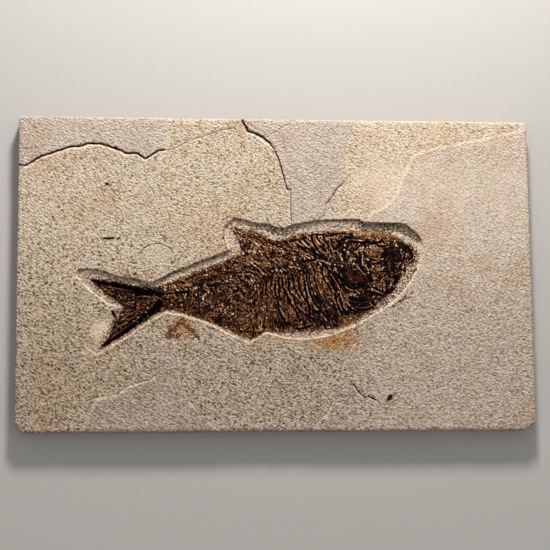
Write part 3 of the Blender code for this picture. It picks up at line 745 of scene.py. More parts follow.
# the dark bones: (half width, points)
ribBones = [
    (0.9, [(-10.4, -7), (-10.4, -13.4), (-11, -19.5)]),
    (0.75, [(-2.4, -7), (-2.6, -13.4), (-1.8, -20.6), (-0.8, -23)]),
    (0.75, [(0.4, -6.3), (1, -13.4), (1.4, -20), (2, -25), (3.6, -28)]),
    (0.95, [(4.3, -6.3), (4.1, -12.7), (6.4, -16.3), (9.3, -22), (10.7, -26.3), (13.6, -30.6), (16.4, -35.6),
            (18.6, -40.6), (19.6, -43)]),
    (0.7, [(9.3, -5), (9.1, -10), (9.6, -14.1), (12.1, -18.4), (14.3, -24.1), (15.7, -27.7), (16, -31.3)]),
    (0.8, [(13.2, -2.7), (13.6, -8.4), (14.3, -12.7), (16, -16.3), (18, -20)]),
    (0.8, [(17.9, -3.4), (18.2, -8.4), (19.3, -14.1), (20.7, -18.4), (23.2, -22.7), (24.3, -25)]),
    (1.0, [(23.9, -2.7), (23.6, -9.9), (24.6, -15.6), (25.4, -21.3), (26.4, -27), (27.5, -32), (28.2, -37)]),
    (0.85, [(25.4, -1.3), (26, -7.7), (27.5, -13.4), (28.9, -18.4), (30.7, -23.4), (32.9, -27.7), (36.4, -32),
            (39.3, -35), (43, -40), (47, -45)]),
    (0.6, [(28.2, -0.6), (28.2, -6.3), (29.6, -12.7), (31.4, -17.7), (34, -23), (38, -29)]),
    (0.45, [(33, 1), (33, -6), (35, -13), (38, -20), (42, -27)]),
    (0.8, [(39.3, 4.4), (39.6, 0.1), (41.4, -5.6), (43.6, -9.1), (45.7, -12.7), (47.1, -16.3)]),
    (1.2, [(45, 3.7), (45.7, -1.3), (48.6, -7), (50, -12), (52.1, -16)]),
    (0.8, [(49.6, -2), (52.9, -7), (55.7, -12.7)]),
    (0.6, [(-16, -8), (-16, -14), (-15.5, -20)]),
    (0.5, [(-21, -9), (-21.5, -15), (-21, -21)]),
    (0.5, [(-6.3, -6.5), (-6.4, -12), (-6, -18)]),
    (0.7, [(18.6, -32), (22.1, -35.6), (26.4, -38.4), (31.4, -40.6)]),
    (0.6, [(47, -42), (50, -46), (52.9, -47.2)]),
    (0.9, [(-0.4, -25.6), (0.4, -32), (3.6, -39), (6.4, -44)]),
    (0.9, [(15.7, -49.3), (20.7, -49), (25, -47.8), (29.3, -46.3)]),
]

backBones = [
    (1.1, [(12, 28.5), (16.7, 30), (21, 30.8), (25, 32)]),
    (0.7, [(29, 33.8), (34, 35.3), (41, 35)]),
    (0.7, [(45, 36), (49, 35.6), (55, 36.3), (59, 36), (66, 35.4)]),
    (0.8, [(18.3, 30), (20.6, 28.3), (22.2, 26.1), (24.4, 23.9), (26.7, 22.2), (29.4, 20.6), (33.3, 17.8)]),
    (0.7, [(15, 29.4), (16.7, 26.7), (19.4, 25), (22.2, 23.3), (25, 21.7)]),
    (0.75, [(23.9, 30), (26.1, 27.2), (28.9, 23.9), (31.1, 21.7), (32.8, 19.4)]),
    (1.1, [(30.6, 33.5), (31.1, 30.6), (32.2, 27.2), (33.9, 23.9), (35.6, 21.7)]),
    (0.85, [(35, 33.7), (36.1, 30.6), (38.3, 27.8), (41.1, 25.6)]),
    (0.7, [(37.8, 34.8), (41.5, 35)]),
    (0.8, [(41.1, 32), (42.2, 29.4), (44.4, 26.1), (45.6, 24.4)]),
    (0.85, [(47.8, 30.5), (48.3, 26.7), (49.4, 23.3), (50.6, 21.1)]),
    (0.8, [(44.4, 34.4), (48.3, 33.8), (50, 34.8), (53.3, 35)]),
    (0.7, [(57.8, 31), (55.6, 26.4), (53.3, 23.9), (52.2, 22.4)]),
    (0.7, [(38.3, 25), (40, 22.2), (42.2, 20)]),
    (0.7, [(35.6, 20.6), (37.8, 18.3), (39.4, 16.7)]),
    (1.0, [(31.1, 19.4), (34.4, 17.8), (37.8, 15.6), (41.1, 12.8), (44.4, 10)]),
    (0.7, [(21.1, 21.1), (23.9, 20), (27.8, 18.3), (31.1, 16.1), (33.9, 13.9)]),
    (0.7, [(15, 20.3), (18.3, 18.3), (21.7, 16.7), (25, 14.4), (27.8, 11.9)]),
    (1.1, [(20.6, 11.3), (23.9, 10.8), (29.4, 11.3), (34.4, 12.2)]),
    (0.6, [(0, 24.4), (3.3, 23.3), (6.1, 21.1), (8.9, 18.3), (10, 16.7)]),
    (0.5, [(2.5, 24.6), (5.5, 22.8), (8.4, 20.5), (11, 18)]),
    (0.6, [(10.6, 16.7), (13.9, 16.1), (18.3, 15.6), (22.2, 13.9)]),
    (0.6, [(4.4, 15.6), (7.2, 12.8), (10, 11.1)]),
    (0.55, [(-15, 4.2), (-11.8, 1.9), (-9.5, -0.8)]),
    (0.55, [(-12.2, 5), (-8, 0.8)]),
    (0.55, [(-10, 5.4), (-5.7, 0.4)]),
    (0.6, [(-18, 3.8), (-15, -0.8), (-13.4, -2.3)]),
    (0.6, [(-20.3, -0.8), (-17.2, -3.8), (-16, -4.6)]),
    (0.6, [(-30.3, -0.8), (-26.5, -3.8), (-25.7, -5.8)]),
    (0.6, [(-35.7, -3), (-32.6, -6.2), (-30.3, -7.7)]),
    (0.5, [(-36.5, -0.4), (-30.3, 0), (-23.4, 0)]),
    (0.5, [(-23.4, 6.9), (-20.3, 4.6)]),
    (0.9, [(-30.3, 20.5), (-26.5, 16.5)]),
    (0.7, [(-65, -5.3), (-61, -6), (-58, -5.5)]),
    (0.6, [(-50.5, -5.6), (-48, -7.4)]),
]

skullBones = [
    (1.2, [(66.7, 28.7), (73.3, 28), (80.7, 28.2), (85.3, 27.5), (91.3, 28.2), (95, 30)]),
    (0.8, [(90, 25.3), (94, 24.7), (97.3, 24.7)]),
    (0.6, [(74, 32.7), (72, 31.3)]),
    (1.3, [(70, 10), (74, 5.3), (77.3, 1.3), (80.7, -2.7), (83.3, -6), (87.3, -7)]),
    (1.0, [(103, 1), (106, -4), (104, -8), (101, -14)]),
    (0.9, [(97, -4), (103, -3.5), (108, -5)]),
    (1.0, [(95.3, -6), (97.3, -10), (96.7, -12.7)]),
    (1.0, [(82.7, -10.7), (87.3, -14), (91.3, -15.3), (95.3, -17), (100, -16)]),
    (1.5, [(57, -4), (60.5, -10), (66.7, -13.2), (74, -12.5), (78, -10.5)]),
    (1.2, [(54, -1.3), (57.5, -7.3), (58.6, -12), (62, -16), (70, -17.5)]),
    (0.8, [(76.7, -16.7), (82, -17.3), (86, -19)]),
    (0.8, [(82.7, -24.7), (85.3, -28.3)]),
    (0.8, [(67, -31.3), (74, -32.3), (80.7, -31.5), (84.5, -29.8)]),
    (0.9, [(54, -19), (56, -25.3), (57.3, -30), (60.7, -34.7)]),
    (0.9, [(60, -27.3), (64.7, -32), (70.7, -34.7)]),
    (0.9, [(50.5, -17.5), (51.5, -24), (54, -31), (57, -37)]),
    (0.7, [(58, 20), (60, 15.3), (60.7, 11.3)]),
    (0.7, [(72.7, 19.3), (73.6, 16), (73.8, 12.7), (74.6, 9.5)]),
    (0.7, [(83.3, 12.8), (87.3, 11.5), (91.3, 14), (94, 15.5)]),
    (0.6, [(84, 8), (90, 9.5), (96, 8)]),
    (0.9, [(114, 24), (118, 22.5), (120.5, 19.5)]),
    (0.9, [(121, 18), (120.5, 15), (118, 12.5)]),
    (0.8, [(111, 20), (113.5, 17), (113, 13)]),
    (0.8, [(100, 1), (94, 2), (88, 0.5)]),
    (0.8, [(47.5, -20.5), (49, -27), (52, -34)]),
]

tailBones = [  # the black leading edges of both lobes and a few rays
    (1.9, [(-103, -18.7), (-108, -17.8), (-114.7, -17), (-121.3, -16.6), (-128, -15)]),
    (1.6, [(-121, -16.9), (-128, -15), (-134.7, -13), (-141.3, -11)]),
    (1.1, [(-112, -19.3), (-121, -19.2), (-129, -18.3), (-136, -15.8)]),
    (1.2, [(-134, -12.6), (-141.3, -11), (-148, -9.6), (-156, -8.8)]),
    (0.7, [(-148, -9.8), (-158, -8.7), (-163.3, -6.9)]),
    (2.3, [(-103.5, -25.3), (-108, -30.6), (-112.7, -34.8)]),
    (1.5, [(-110, -32.8), (-117.3, -38.2), (-122.7, -42.4)]),
    (1.7, [(-120, -41), (-128, -46.8), (-133.3, -50.6)]),
    (1.2, [(-132, -50), (-138.7, -54.4), (-144, -58)]),
    (0.8, [(-143, -57.5), (-148.7, -61.3), (-152.3, -64)]),
    (0.8, [(-143.3, -15.5), (-141.7, -19)]),
    (0.6, [(-138.8, -16), (-138.3, -18.5)]),
    (0.9, [(-103, -20), (-96, -18.5), (-88, -17.5), (-80, -17)]),
    (0.9, [(-105, -21), (-99, -23.5), (-95, -24)]),
]

# pale bones and flecks: (half width, tone, points)
paleBones = [
    (0.75, 0.8, [(2.1, -25), (2.9, -29)]), (0.6, 0.66, [(5.4, -7), (5.7, -13.4)]),
    (0.75, 0.68, [(7.1, -14), (9.5, -18.5), (11.8, -23.4)]),
    (0.5, 0.75, [(13.9, -17.7), (17.9, -22.7), (21.4, -24.9)]), (0.8, 0.66, [(15.4, -4.9), (16.4, -10.6)]),
    (0.75, 0.68, [(20.4, -2.7), (21.4, -9.1), (22.5, -16.3), (24, -22)]),
    (0.65, 0.78, [(25.4, -11.8), (27.2, -18.8), (28.8, -22.8)]),
    (0.75, 0.95, [(32.1, -31.3), (35.4, -32.7)]), (0.5, 0.62, [(40.4, -9), (42.5, -16)]),
    (0.7, 0.62, [(43.6, -4), (46.4, -10.6), (49, -15.6)]),
    (0.7, 0.82, [(43.6, -22), (47.1, -21.3), (50, -24.9), (51.8, -27.7)]),
    (0.4, 0.6, [(-0.9, -12.5), (-0.6, -20)]), (0.5, 0.62, [(2.2, -8), (2.9, -14), (3.4, -21)]),
    (0.5, 0.6, [(11.2, -5), (11.5, -11), (12.6, -15)]), (0.45, 0.6, [(10, -28), (12.5, -33), (15, -38)]),
    (0.5, 0.55, [(-4.6, -8), (-4.4, -14), (-3.9, -20)]),
    (0.5, 0.55, [(-8.3, -8), (-8.4, -13), (-8.5, -18)]),
    (0.55, 0.8, [(15.3, 28.6), (17.2, 26.7), (21.1, 25.8), (23.3, 23.9)]),
    (0.65, 0.86, [(21.9, 29.2), (23.9, 27.2), (26.1, 25), (28.9, 22.8)]),
    (0.6, 0.82, [(27.2, 29), (28.9, 27.2), (31.1, 24.4), (33, 22.8)]),
    (0.65, 0.72, [(32.8, 30.5), (33.3, 27.8), (35, 25.6)]), (0.95, 0.88, [(37.3, 33.4), (38, 33)]),
    (0.75, 0.74, [(37.8, 30.5), (40, 28.3), (42.2, 26.7)]), (0.8, 1.0, [(43.6, 31.8), (44.9, 31)]),
    (0.7, 0.62, [(46, 29.5), (46.7, 26.7)]), (1.3, 0.6, [(49, 31.7), (52, 32), (55, 31)]),
    (0.7, 0.82, [(59.4, 34.4), (58.3, 32.2)]), (0.6, 0.8, [(19.4, 18.6), (22.2, 16.7), (25, 15)]),
    (0.7, 0.92, [(25.3, 14.9), (28.5, 12.9)]), (0.5, 0.64, [(27.2, 19.4), (30, 17.8)]),
    (0.5, 0.5, [(24.4, 21), (27.8, 19)]), (0.9, 0.8, [(40.6, 18.9), (43.3, 17.8), (46.1, 18.9)]),
    (0.7, 0.82, [(48.9, 19.4), (52.2, 20), (54.4, 17.8), (56.1, 14.4), (57.5, 11.1)]),
    (0.8, 0.9, [(13, 13.9), (14.8, 13.9), (16, 12.7)]), (0.6, 0.8, [(10.6, 13.3), (12.7, 13.9)]),
    (0.8, 0.9, [(36.9, 9.8), (38.9, 7)]), (0.45, 0.85, [(38.3, 12.8), (39.5, 11)]),
    (0.9, 0.92, [(43.2, 9.6), (44.3, 9)]), (0.6, 0.85, [(45.3, 5.3), (46, 3.8)]),
    (0.85, 1.0, [(57, 6.6), (57.6, 6)]), (0.9, 0.95, [(10.6, 5.4), (12.5, 5.1)]),
    (0.6, 0.85, [(12.5, 5.2), (15, 5.7), (17.5, 4.7)]), (0.7, 0.85, [(27.3, 9), (28.2, 7.6)]),
    (0.6, 0.8, [(0.4, 12.9), (1.6, 12)]), (0.7, 0.8, [(0.7, 7.3), (2.4, 6.5)]),
    (0.6, 0.66, [(1.7, 22.8), (4.4, 20.6)]), (0.5, 0.66, [(3.3, 17.8), (8.3, 16.1)]),
    (0.9, 1.0, [(-1.8, 2.5), (-1.1, 2.5)]), (0.9, 0.8, [(5, 3), (7, 2.5)]),
    (0.9, 1.0, [(20.1, -43.9), (20.8, -43.7)]), (0.7, 0.8, [(12.1, -34.4), (12.9, -35.4)]),
    (0.8, 0.8, [(51, 4), (52, 1.3), (53.5, 0.8)]), (0.6, 0.8, [(50.5, 2.5), (52.5, 3.6)]),
    (0.6, 0.68, [(9.7, 30.5), (11, 29.6)]), (0.7, 0.72, [(4.5, 27.5), (5.6, 26.2)]),
    (0.7, 0.7, [(11.2, 27), (11.8, 24.6)]),
    # faint grey swirls on the gill covers: painted sheen on the dark bone
    (0.7, 0.3, [(63, -24), (70, -26.5), (78, -26), (86, -23.5)]),
    (0.6, 0.26, [(65, -28), (72, -30.5), (81, -29.5)]),
    (0.7, 0.3, [(58, -8), (64, -12), (72, -13.5), (79, -12)]),
    (0.6, 0.28, [(56, -12), (62, -16.5), (70, -18)]),
    (0.6, 0.3, [(98, 20), (103, 21), (107, 17), (106, 12)]),
    (0.6, 0.26, [(100, 16), (103, 13), (100, 10)]),
    # the skull
    (0.8, 0.8, [(75.3, 18.7), (76, 15.3), (75.7, 11.3), (76.7, 8), (78.7, 6), (80, 4.7), (81.3, 2)]),
    (0.7, 0.95, [(75.9, 14.6), (75.8, 12.6)]), (0.7, 0.8, [(77.4, -0.3), (78.8, -1.5)]),
    (0.7, 0.85, [(84, -2), (86, -3.7), (88, -4.7)]), (0.6, 0.8, [(89.5, -1.2), (88.8, -4)]),
    (0.7, 0.85, [(97, -3.5), (99, -4.7)]), (0.6, 0.8, [(101.4, 1.1), (103, 0.7)]),
    (0.6, 0.95, [(106.7, 6), (108.7, 8), (110.3, 10)]), (0.7, 0.72, [(88, 12.3), (91.3, 14)]),
    (0.8, 1.0, [(93.1, 12.7), (94.4, 12.9)]), (0.9, 0.85, [(106, 27), (107.6, 25)]),
    (0.7, 0.8, [(93.3, 26.3), (96.7, 26)]), (0.8, 0.66, [(98, 24.4), (100, 24.2)]),
    (1.1, 0.9, [(73.3, 22.7), (77, 22.7)]), (0.7, 0.8, [(68.6, 26), (70, 26.2)]),
    (0.7, 0.74, [(65, 23.7), (66.5, 24.2)]), (0.7, 0.86, [(68.3, 19.3), (70.7, 18.7), (71.9, 16)]),
    (0.9, 0.74, [(62.3, 17.5), (64, 16.8)]), (1.2, 0.72, [(64.5, 13.5), (68, 12.8)]),
    (0.6, 0.8, [(63, 8.8), (65.5, 9.3)]), (0.6, 0.78, [(68.3, 10.3), (67, 8.2), (66.2, 6.8)]),
    (1.2, 0.62, [(67.5, 3.6), (69.5, 3.2)]), (0.55, 0.78, [(70, 9), (73, 6.7)]),
    (0.8, 0.66, [(80.4, -8.4), (82.7, -12)]), (0.9, 0.85, [(84.6, -11), (86, -11.8)]),
    (0.8, 0.8, [(86.2, -7.1), (87.3, -7.5)]), (0.9, 0.85, [(103, -11), (104, -12)]),
    (0.9, 0.85, [(65.5, -17), (66.8, -19)]), (0.8, 0.85, [(70.7, -17), (72.2, -17.6)]),
    (0.8, 0.74, [(75.3, -16), (76, -17)]), (1.0, 0.7, [(55.5, -20.7), (57.5, -22)]),
    (1.0, 0.62, [(61, -21.5), (62.6, -24.5)]), (0.8, 0.82, [(86.5, -23.7), (86.7, -26.4)]),
    (0.6, 0.7, [(79.4, -14.5), (80.7, -14.9)]), (0.9, 0.6, [(82, 20.5), (86, 21.5), (90, 22.5)]),
    (0.8, 0.66, [(83, 17.3), (87, 16.2)]), (0.6, 0.7, [(91, 20), (95, 21.5)]),
    (0.7, 0.62, [(81, 18), (82.5, 15.7)]), (0.5, 0.7, [(98.5, 9), (101, 8.4)]),
    (0.5, 0.66, [(96, 6.2), (97.5, 5.5)]), (0.9, 0.85, [(119.7, 22.8), (120.3, 24)]),
    (0.7, 0.85, [(112, 18.3), (113.3, 19)]), (0.5, 0.6, [(87, 5), (91, 3.4)]),
    (0.5, 0.6, [(85, 2.2), (90.5, 0.4)]),
    # the tail
    (0.75, 1.0, [(-123.8, -39.5), (-122.3, -39.5)]), (0.75, 0.95, [(-117, -34.7), (-115.4, -35.3)]),
    (0.6, 0.85, [(-115.3, -37.2), (-114.6, -38.7)]), (0.65, 0.85, [(-127.4, -42.4), (-126, -42.9)]),
    (0.6, 0.8, [(-124.3, -43), (-122.8, -43.8)]), (0.6, 0.8, [(-118, -28), (-116.8, -28.5)]),
    (0.6, 0.8, [(-124.3, -28), (-123.2, -28.5)]), (0.6, 0.74, [(-132, -24.2), (-130.5, -23.6)]),
    (0.8, 0.8, [(-139.3, -20.3), (-137.8, -22.8)]), (0.7, 0.7, [(-138.7, -48.3), (-137.4, -49.3)]),
    # along the backbone
    (0.8, 0.85, [(-72.7, -12.5), (-71, -13.6)]), (0.7, 0.85, [(-63, -12.5), (-61.5, -14)]),
    (0.6, 0.9, [(-64, -15), (-60.8, -17.2)]), (0.8, 0.85, [(-53, -15), (-52, -17.2)]),
    (0.7, 0.66, [(-58.2, -13), (-56.8, -13.7)]), (0.8, 0.85, [(-81.7, -14.2), (-80.3, -15.2)]),
    (0.8, 0.85, [(-75.8, -15), (-74.3, -15.8)]), (0.65, 0.8, [(-86.7, -10.8), (-83, -13.3)]),
    (0.6, 0.8, [(-93.3, -16), (-92, -17.6)]), (0.7, 0.66, [(-48.7, -14), (-46.8, -13.8)]),
    (0.7, 0.62, [(-80, -8), (-76.5, -5.5)]), (0.8, 0.85, [(-37.2, -7.5), (-36.4, -8)]),
    (0.7, 0.8, [(-35.7, -5.6), (-34.9, -6.2)]), (0.7, 0.8, [(-22.3, -17.5), (-21.3, -18)]),
    (0.7, 0.8, [(-17.6, -11.2), (-16.8, -12)]), (0.7, 0.85, [(-32, 25.6), (-31, 25)]),
    (0.7, 0.85, [(-15.6, -30.6), (-14.5, -31)]), (0.7, 0.85, [(-12, -30.2), (-10.8, -30)]),
    (0.7, 0.8, [(-8.8, -29.8), (-7.9, -30.2)]), (0.9, 0.8, [(-4, -33.2), (-2.2, -32.8)]),
    (0.9, 0.66, [(-27.7, -37.6), (-26.8, -38.4)]), (0.8, 0.8, [(-36.5, -41.3), (-35.6, -41.7)]),
    (1.6, 0.66, [(-20, -50.8), (-16, -51)]), (0.5, 0.62, [(-35, -43.8), (-29.5, -40)]),
    (0.5, 0.62, [(-34.2, -46.6), (-26.5, -41.3)]), (0.5, 0.6, [(-32, -48), (-25, -43.2)]),
    (0.5, 0.6, [(-35.5, -31), (-31.8, -27.3)]), (0.45, 0.58, [(-33.5, -36.5), (-29.5, -33)]),
    (0.5, 0.6, [(-20.3, -46), (-15.7, -41.5)]), (0.5, 0.58, [(-23, -45), (-19, -41)]),
]


def splinterPlan(x, y):
    # how the splinters lie at each place: their angle and its spread, their length, the shares of black and
    # of pale ones, and how light the others can be
    spineY = np.interp(x, spineLine[:, 0], spineLine[:, 1])
    above, head, tail = y > spineY, x > 60, x < -104
    mid = (x > -24) & ~head
    along = (abs(y - spineY) < 4.5) & ~head & ~tail
    angle = np.where(above, np.where(mid, -38 - 0.45 * x, -22), np.where(mid, -86 + 0.35 * (x + 16), 30))
    angle = np.where(above & mid & (y > 20), angle - 12, angle)
    swirl = np.degrees(np.arctan2(y - 16, x - 88)) + 90
    rays = np.degrees(np.arctan2(y + 21, x + 101))
    angle = np.where(head, swirl, np.where(tail, rays, np.where(along, -48, angle)))
    spread = np.where(head, 40, np.where(tail, 16, np.where(mid | along, 15, 36)))
    length = np.where(head, 1.1, np.where(tail, 1.3, np.where(mid, 1.7, 0.8)))
    black = np.where(tail, 0.55, np.where(mid, np.where(above, 0.47, 0.42), 0.45))
    pale = np.where(mid, np.where(above, 0.14, 0.05), 0.04)
    black, pale = np.where(along, 0.58, black), np.where(along, 0.15, pale)
    ragged = np.column_stack([x, y]) + 1.5 * rough(np.column_stack([x, y]), 4, 3, 8.3)[:, None]
    for share, light, _, outline in areas:
        within = inside(ragged, smooth(outline, 1.5, closed=True))
        black, pale = np.where(within, share, black), np.where(within, light, pale)
    light = np.where(tail, 0.36, np.where(above | head, 0.46, np.where(x > -24, 0.37, 0.4)))
    return angle, spread, length, black, pale, light


def drawLine(skin, line, half, value, lift, edge=0.2):
    # one splinter laid over what is there: its tone and a rounded ridge
    reach = half + edge
    low, high = line.min(axis=0) - reach, line.max(axis=0) + reach
    near = skin["byX"][np.searchsorted(skin["sortedX"], low[0]):np.searchsorted(skin["sortedX"], high[0])]
    flat, tone, relief = skin["flat"], skin["tone"], skin["relief"]
    near = near[(flat[near, 1] > low[1]) & (flat[near, 1] < high[1])]
    if not len(near):
        return
    points, a, b = flat[near, None], line[:-1], line[1:]
    run = b - a
    share = np.clip(((points - a) * run).sum(-1) / np.maximum((run * run).sum(-1), 1e-9), 0, 1)
    gap = np.linalg.norm(points - a - share[..., None] * run, axis=-1).min(axis=1)
    mask = ease((reach - gap) / (2 * edge))
    tone[near] += (value - tone[near]) * mask
    ridge = lift * np.sqrt(np.clip(1 - (gap / reach) ** 2, 0, 1))
    relief[near] = relief[near] * (1 - 0.8 * mask) + ridge * np.maximum(mask, 0.3)


def drawSplinters(skin):
    # thousands of small splinters, seeded over the fish and a little beyond its edge
    count = fishShape["splinters"]
    seeds = skin["flat"][draw.integers(0, len(skin["flat"]), count)]
    seeds = seeds[depthIn(seeds, fishLine, 3) > draw.uniform(-2.4, 0.8, count)]
    count = len(seeds)
    angle, spread, length, black, pale, light = splinterPlan(*seeds.T)
    angle = np.radians(angle + draw.normal(0, 1, count) * spread)
    half = length * draw.uniform(0.35, 1.25, count)
    width = draw.uniform(0.2, 0.48, count)
    margin = distance(seeds, fishLine, 6)
    black = black - 0.3 * (1 - ease(margin / 2.5)) * (seeds[:, 0] > -90) * (seeds[:, 0] < 100)
    light = light + 0.3 * rough(seeds, 9, 2, 5.7)
    lot, shade = draw.random(count), draw.random(count)
    # the head's black splinters reach a lighter grey-black: painted sheen
    deepest = np.where(seeds[:, 0] > 45, 0.22, 0.12)
    isBlack, isPale = lot < black, lot > 1 - pale
    value = np.where(isBlack, deepest * shade, np.where(isPale, 0.68 + 0.32 * shade, 0.29 + light * shade))
    half = np.where(isPale, draw.uniform(0.2, 0.8, count), half)
    lift = np.where(isBlack, 0.08, 0.12 + 0.22 * shade)
    lean = half[:, None] * np.column_stack([np.cos(angle), np.sin(angle)])
    for start, end, wide, each, up in zip(seeds - lean, seeds + lean, width, value, lift, strict=True):
        drawLine(skin, np.array([start, end]), wide, each, up)


def drawPlates(skin):
    # solid dark plates and rusty ones; returns how far they stand up and how red they are
    flat, tone = skin["flat"], skin["tone"]
    rise, red = np.zeros((2, len(flat)))
    uneven = 1.3 * rough(flat, 2.5, 3, 1.1)
    for _, _, solid, outline in areas:
        mask = solid * ease(0.5 + (depthIn(flat, smooth(outline, 1, closed=True), 3) + uneven) / 1.2)
        tone += (0.04 - tone) * mask
        rise += 0.25 * mask
    for outline in rustyPlates:
        depth = depthIn(flat, smooth(outline, 1, closed=True), 3) + uneven
        red = np.maximum(red, ease((depth - 0.5) / 1.5))
        tone += 0.1 * ease(depth / 1.5)
    return rise, red


def drawBones(skin):
    # the main bones as dark ridges with pale slivers beside them, then the pale bones
    shape = fishShape
    for half, line in [*ribBones, *backBones, *skullBones, *tailBones]:
        path = jagged(smooth(line, 1.2), 0.3, 1.8, half)
        for place, width in shape["thinBone"] if half < 1 else shape["broadBone"]:
            strand = jagged(shifted(path, place * half, closed=False), 0.35, 2.3, 2 * half + 3 * place)
            drawLine(skin, strand, half * width, 0.0, 0.3)
        side = shifted(path, draw.choice([-1, 1]) * (half + 0.55), closed=False)
        for i in range(0, len(side) - 2, 2):
            if draw.random() < shape["sliver"] and line[0][0] > -60:
                drawLine(skin, side[i:i + 3], 0.3, draw.uniform(0.5, 0.9), 0.3)
    for half, value, line in paleBones:
        drawLine(skin, jagged(smooth(line, 1), 0.2, 1.5, value), 0.5 * half, 0.88 * value, 0.34, 0.22)


def fishNet():
    # a fine flat net over the fossil and the scraps at its edge
    loose = honeycomb(bodyLine.min(axis=0), bodyLine.max(axis=0), fishShape["step"])
    loose = clearOf(loose[inside(loose, bodyLine)], [(bodyLine, True)], 0.3)
    flat, faces = triangles([(bodyLine, True)], loose)
    return flat, faces[inside(flat[faces].mean(axis=1), bodyLine)]


def makeFish():
    shape = fishShape
    flat, faces = fishNet()
    margin = depthIn(flat, fishLine, 12)
    tone = 0.16 + 0.08 * rough(flat, 5, 2, 3.3)
    scraps = ease((0.4 + 1.5 * rough(flat, 2.4, 3, 6.4) - margin) / 1.8) * np.where(flat[:, 0] < -104, 0.4, 1)
    tone += (0.6 + 0.3 * rough(flat, 1.3, 2, 2.9) - tone) * scraps
    byX = np.argsort(flat[:, 0])
    skin = {"flat": flat, "byX": byX, "sortedX": flat[byX, 0], "tone": tone, "relief": np.zeros(len(flat))}
    drawSplinters(skin)
    rise, red = drawPlates(skin)
    drawBones(skin)
    red *= np.clip(0.6 + 0.9 * rough(flat, 1.6, 2, 4.1), 0, 1)
    height = trenchFloor + shape["lip"] + shape["swell"] * ease(margin.clip(0) / shape["slope"]) + rise
    fine = shape["fine"] * rough(flat, shape["fineSize"], 2, 8.8)
    height += (skin["relief"] + fine) * ease((margin + 1.2) / 1.5)
    piece = meshOf("fossil_fish_body", np.column_stack([flat, height]), faces,
                   {"tone": tone.clip(0, 1), "red": red.clip(0, 1)})
    closeUnder(piece, lambda point: ((fishLow[2], 0),), 75)
    return piece


def blades(name, shapes):
    # slender tapering bones that lie on the body, all in one mesh: (half width, height, tone, points)
    points, faces, tones = [], [], []
    section = [(-1, -0.3), (-0.62, 0.55), (0, 1), (0.62, 0.55), (1, -0.3)]
    for half, rise, tone, line in shapes:
        line = jagged(smooth(line, 1.1), 0.15, 2, half)
        share = np.linspace(0, 1, len(line))
        swell = np.clip(1 - (2 * share - 1) ** 4, 0.12, 1) * (1 + 0.4 * rough(line, 1.7, 2, 5.3))
        base = bodyHeight(line)
        start = len(points)
        for across, up in section:
            side = shifted(line, across * half * swell, closed=False)
            points += np.column_stack([side, base + up * rise * swell]).tolist()
            tones += (tone + 0.06 * rough(line, 1.5, 1, 2.5)).tolist()
        count, sides = len(line), len(section)
        for i in range(sides):
            a, b = start + i * count, start + (i + 1) % sides * count
            faces += [(a + j, a + j + 1, b + j + 1, b + j) for j in range(count - 1)]
        faces.append(tuple(start + i * count for i in range(sides)))
        faces.append(tuple(start + i * count + count - 1 for i in reversed(range(sides))))
    return closedBones(name, points, faces, tones)


def closedBones(name, points, faces, tones):
    # one mesh of closed bones whose faces all look outwards
    piece = meshOf(name, points, faces, {"tone": tones})
    mesh = bmesh.new()
    mesh.from_mesh(piece.data)
    bmesh.ops.recalc_face_normals(mesh, faces=mesh.faces)
    mesh.to_mesh(piece.data)
    mesh.free()
    piece.data.shade_smooth()
    return piece


# the main bones as raised pieces: (bones, height in millimetres, tone)
ridges = {
    "ribs": (ribBones, 0.55, 0.06), "back_spines": (backBones, 0.5, 0.06),
    "skull_ridges": (skullBones, 0.6, 0.04), "tail_edges": (tailBones, 0.5, 0.04),
}
ridgeWidth = 0.62  # a ridge's width as a share of its bone's

finShape = {"halfWidth": 0.45, "height": 0.35, "tones": [0.03, 0.2, 0.42]}


def fan(count, first, last):
    # fin rays that spread from a short base, each a straight run between the two ends given
    rays = np.linspace(first, last, count)
    return [(finShape["halfWidth"], finShape["height"], draw.choice(finShape["tones"]),
             [ray[:2], (ray[:2] + ray[2:]) / 2, ray[2:]]) for ray in rays]


def finShapes():
    made = fan(13, (-2, 27.5, -38, 40), (-31, 18.5, -33, 23))
    made += fan(17, (-36, -34, -43, -47), (-10, -38, -17, -51.5))
    made += fan(8, (-117, -17.5, -160, -9.5), (-117, -20.5, -137, -26.5))
    made += fan(8, (-114, -34, -151, -61), (-119, -25.5, -136.5, -32))
    return made


vertebraShape = {
    "length": 3.9, "first": -100, "last": 57, "radius": (1.3, 1.7), "sink": 0.25,
    "sides": 12, "stations": 7,  # corners round each one and rings along it
}


def vertebrae():
    # hourglass bodies along the backbone, pale at some of their rims
    shape = vertebraShape
    points, faces, tones = [], [], []
    sides, stations = shape["sides"], shape["stations"]
    xs = np.arange(shape["first"], shape["last"], shape["length"])
    for x, xNext in zip(xs, xs[1:], strict=False):
        a, b = onSpine(x), onSpine(xNext)
        run = (b - a) / np.linalg.norm(b - a)
        across = np.array((-run[1], run[0]))
        narrow, broad = shape["radius"]
        wide = narrow + (broad - narrow) * ease((x + 100) / 60)
        start = len(points)
        tone, rim = draw.uniform(0.04, 0.2), draw.choice([0, 0.1, 0.5])
        for s in np.linspace(0.06, 0.94, stations):
            centre = a + (b - a) * s
            radius = wide * (0.66 + 0.34 * abs(2 * s - 1) ** 1.6)
            base = bodyHeight(centre[None])[0] - shape["sink"]
            for turn in np.arange(sides) * 2 * math.pi / sides:
                place = centre + across * radius * math.cos(turn)
                points.append((*place, base + 0.35 * radius * math.sin(turn)))
                tones.append(tone + rim * (abs(2 * s - 1) > 0.8))
        for j in range(stations - 1):
            for i in range(sides):
                p, q = start + j * sides + i, start + j * sides + (i + 1) % sides
                faces.append((p, q, q + sides, p + sides))
        faces.append(tuple(start + i for i in range(sides)))
        faces.append(tuple(start + (stations - 1) * sides + i for i in reversed(range(sides))))
    return closedBones("backbone", points, faces, tones)


# materials

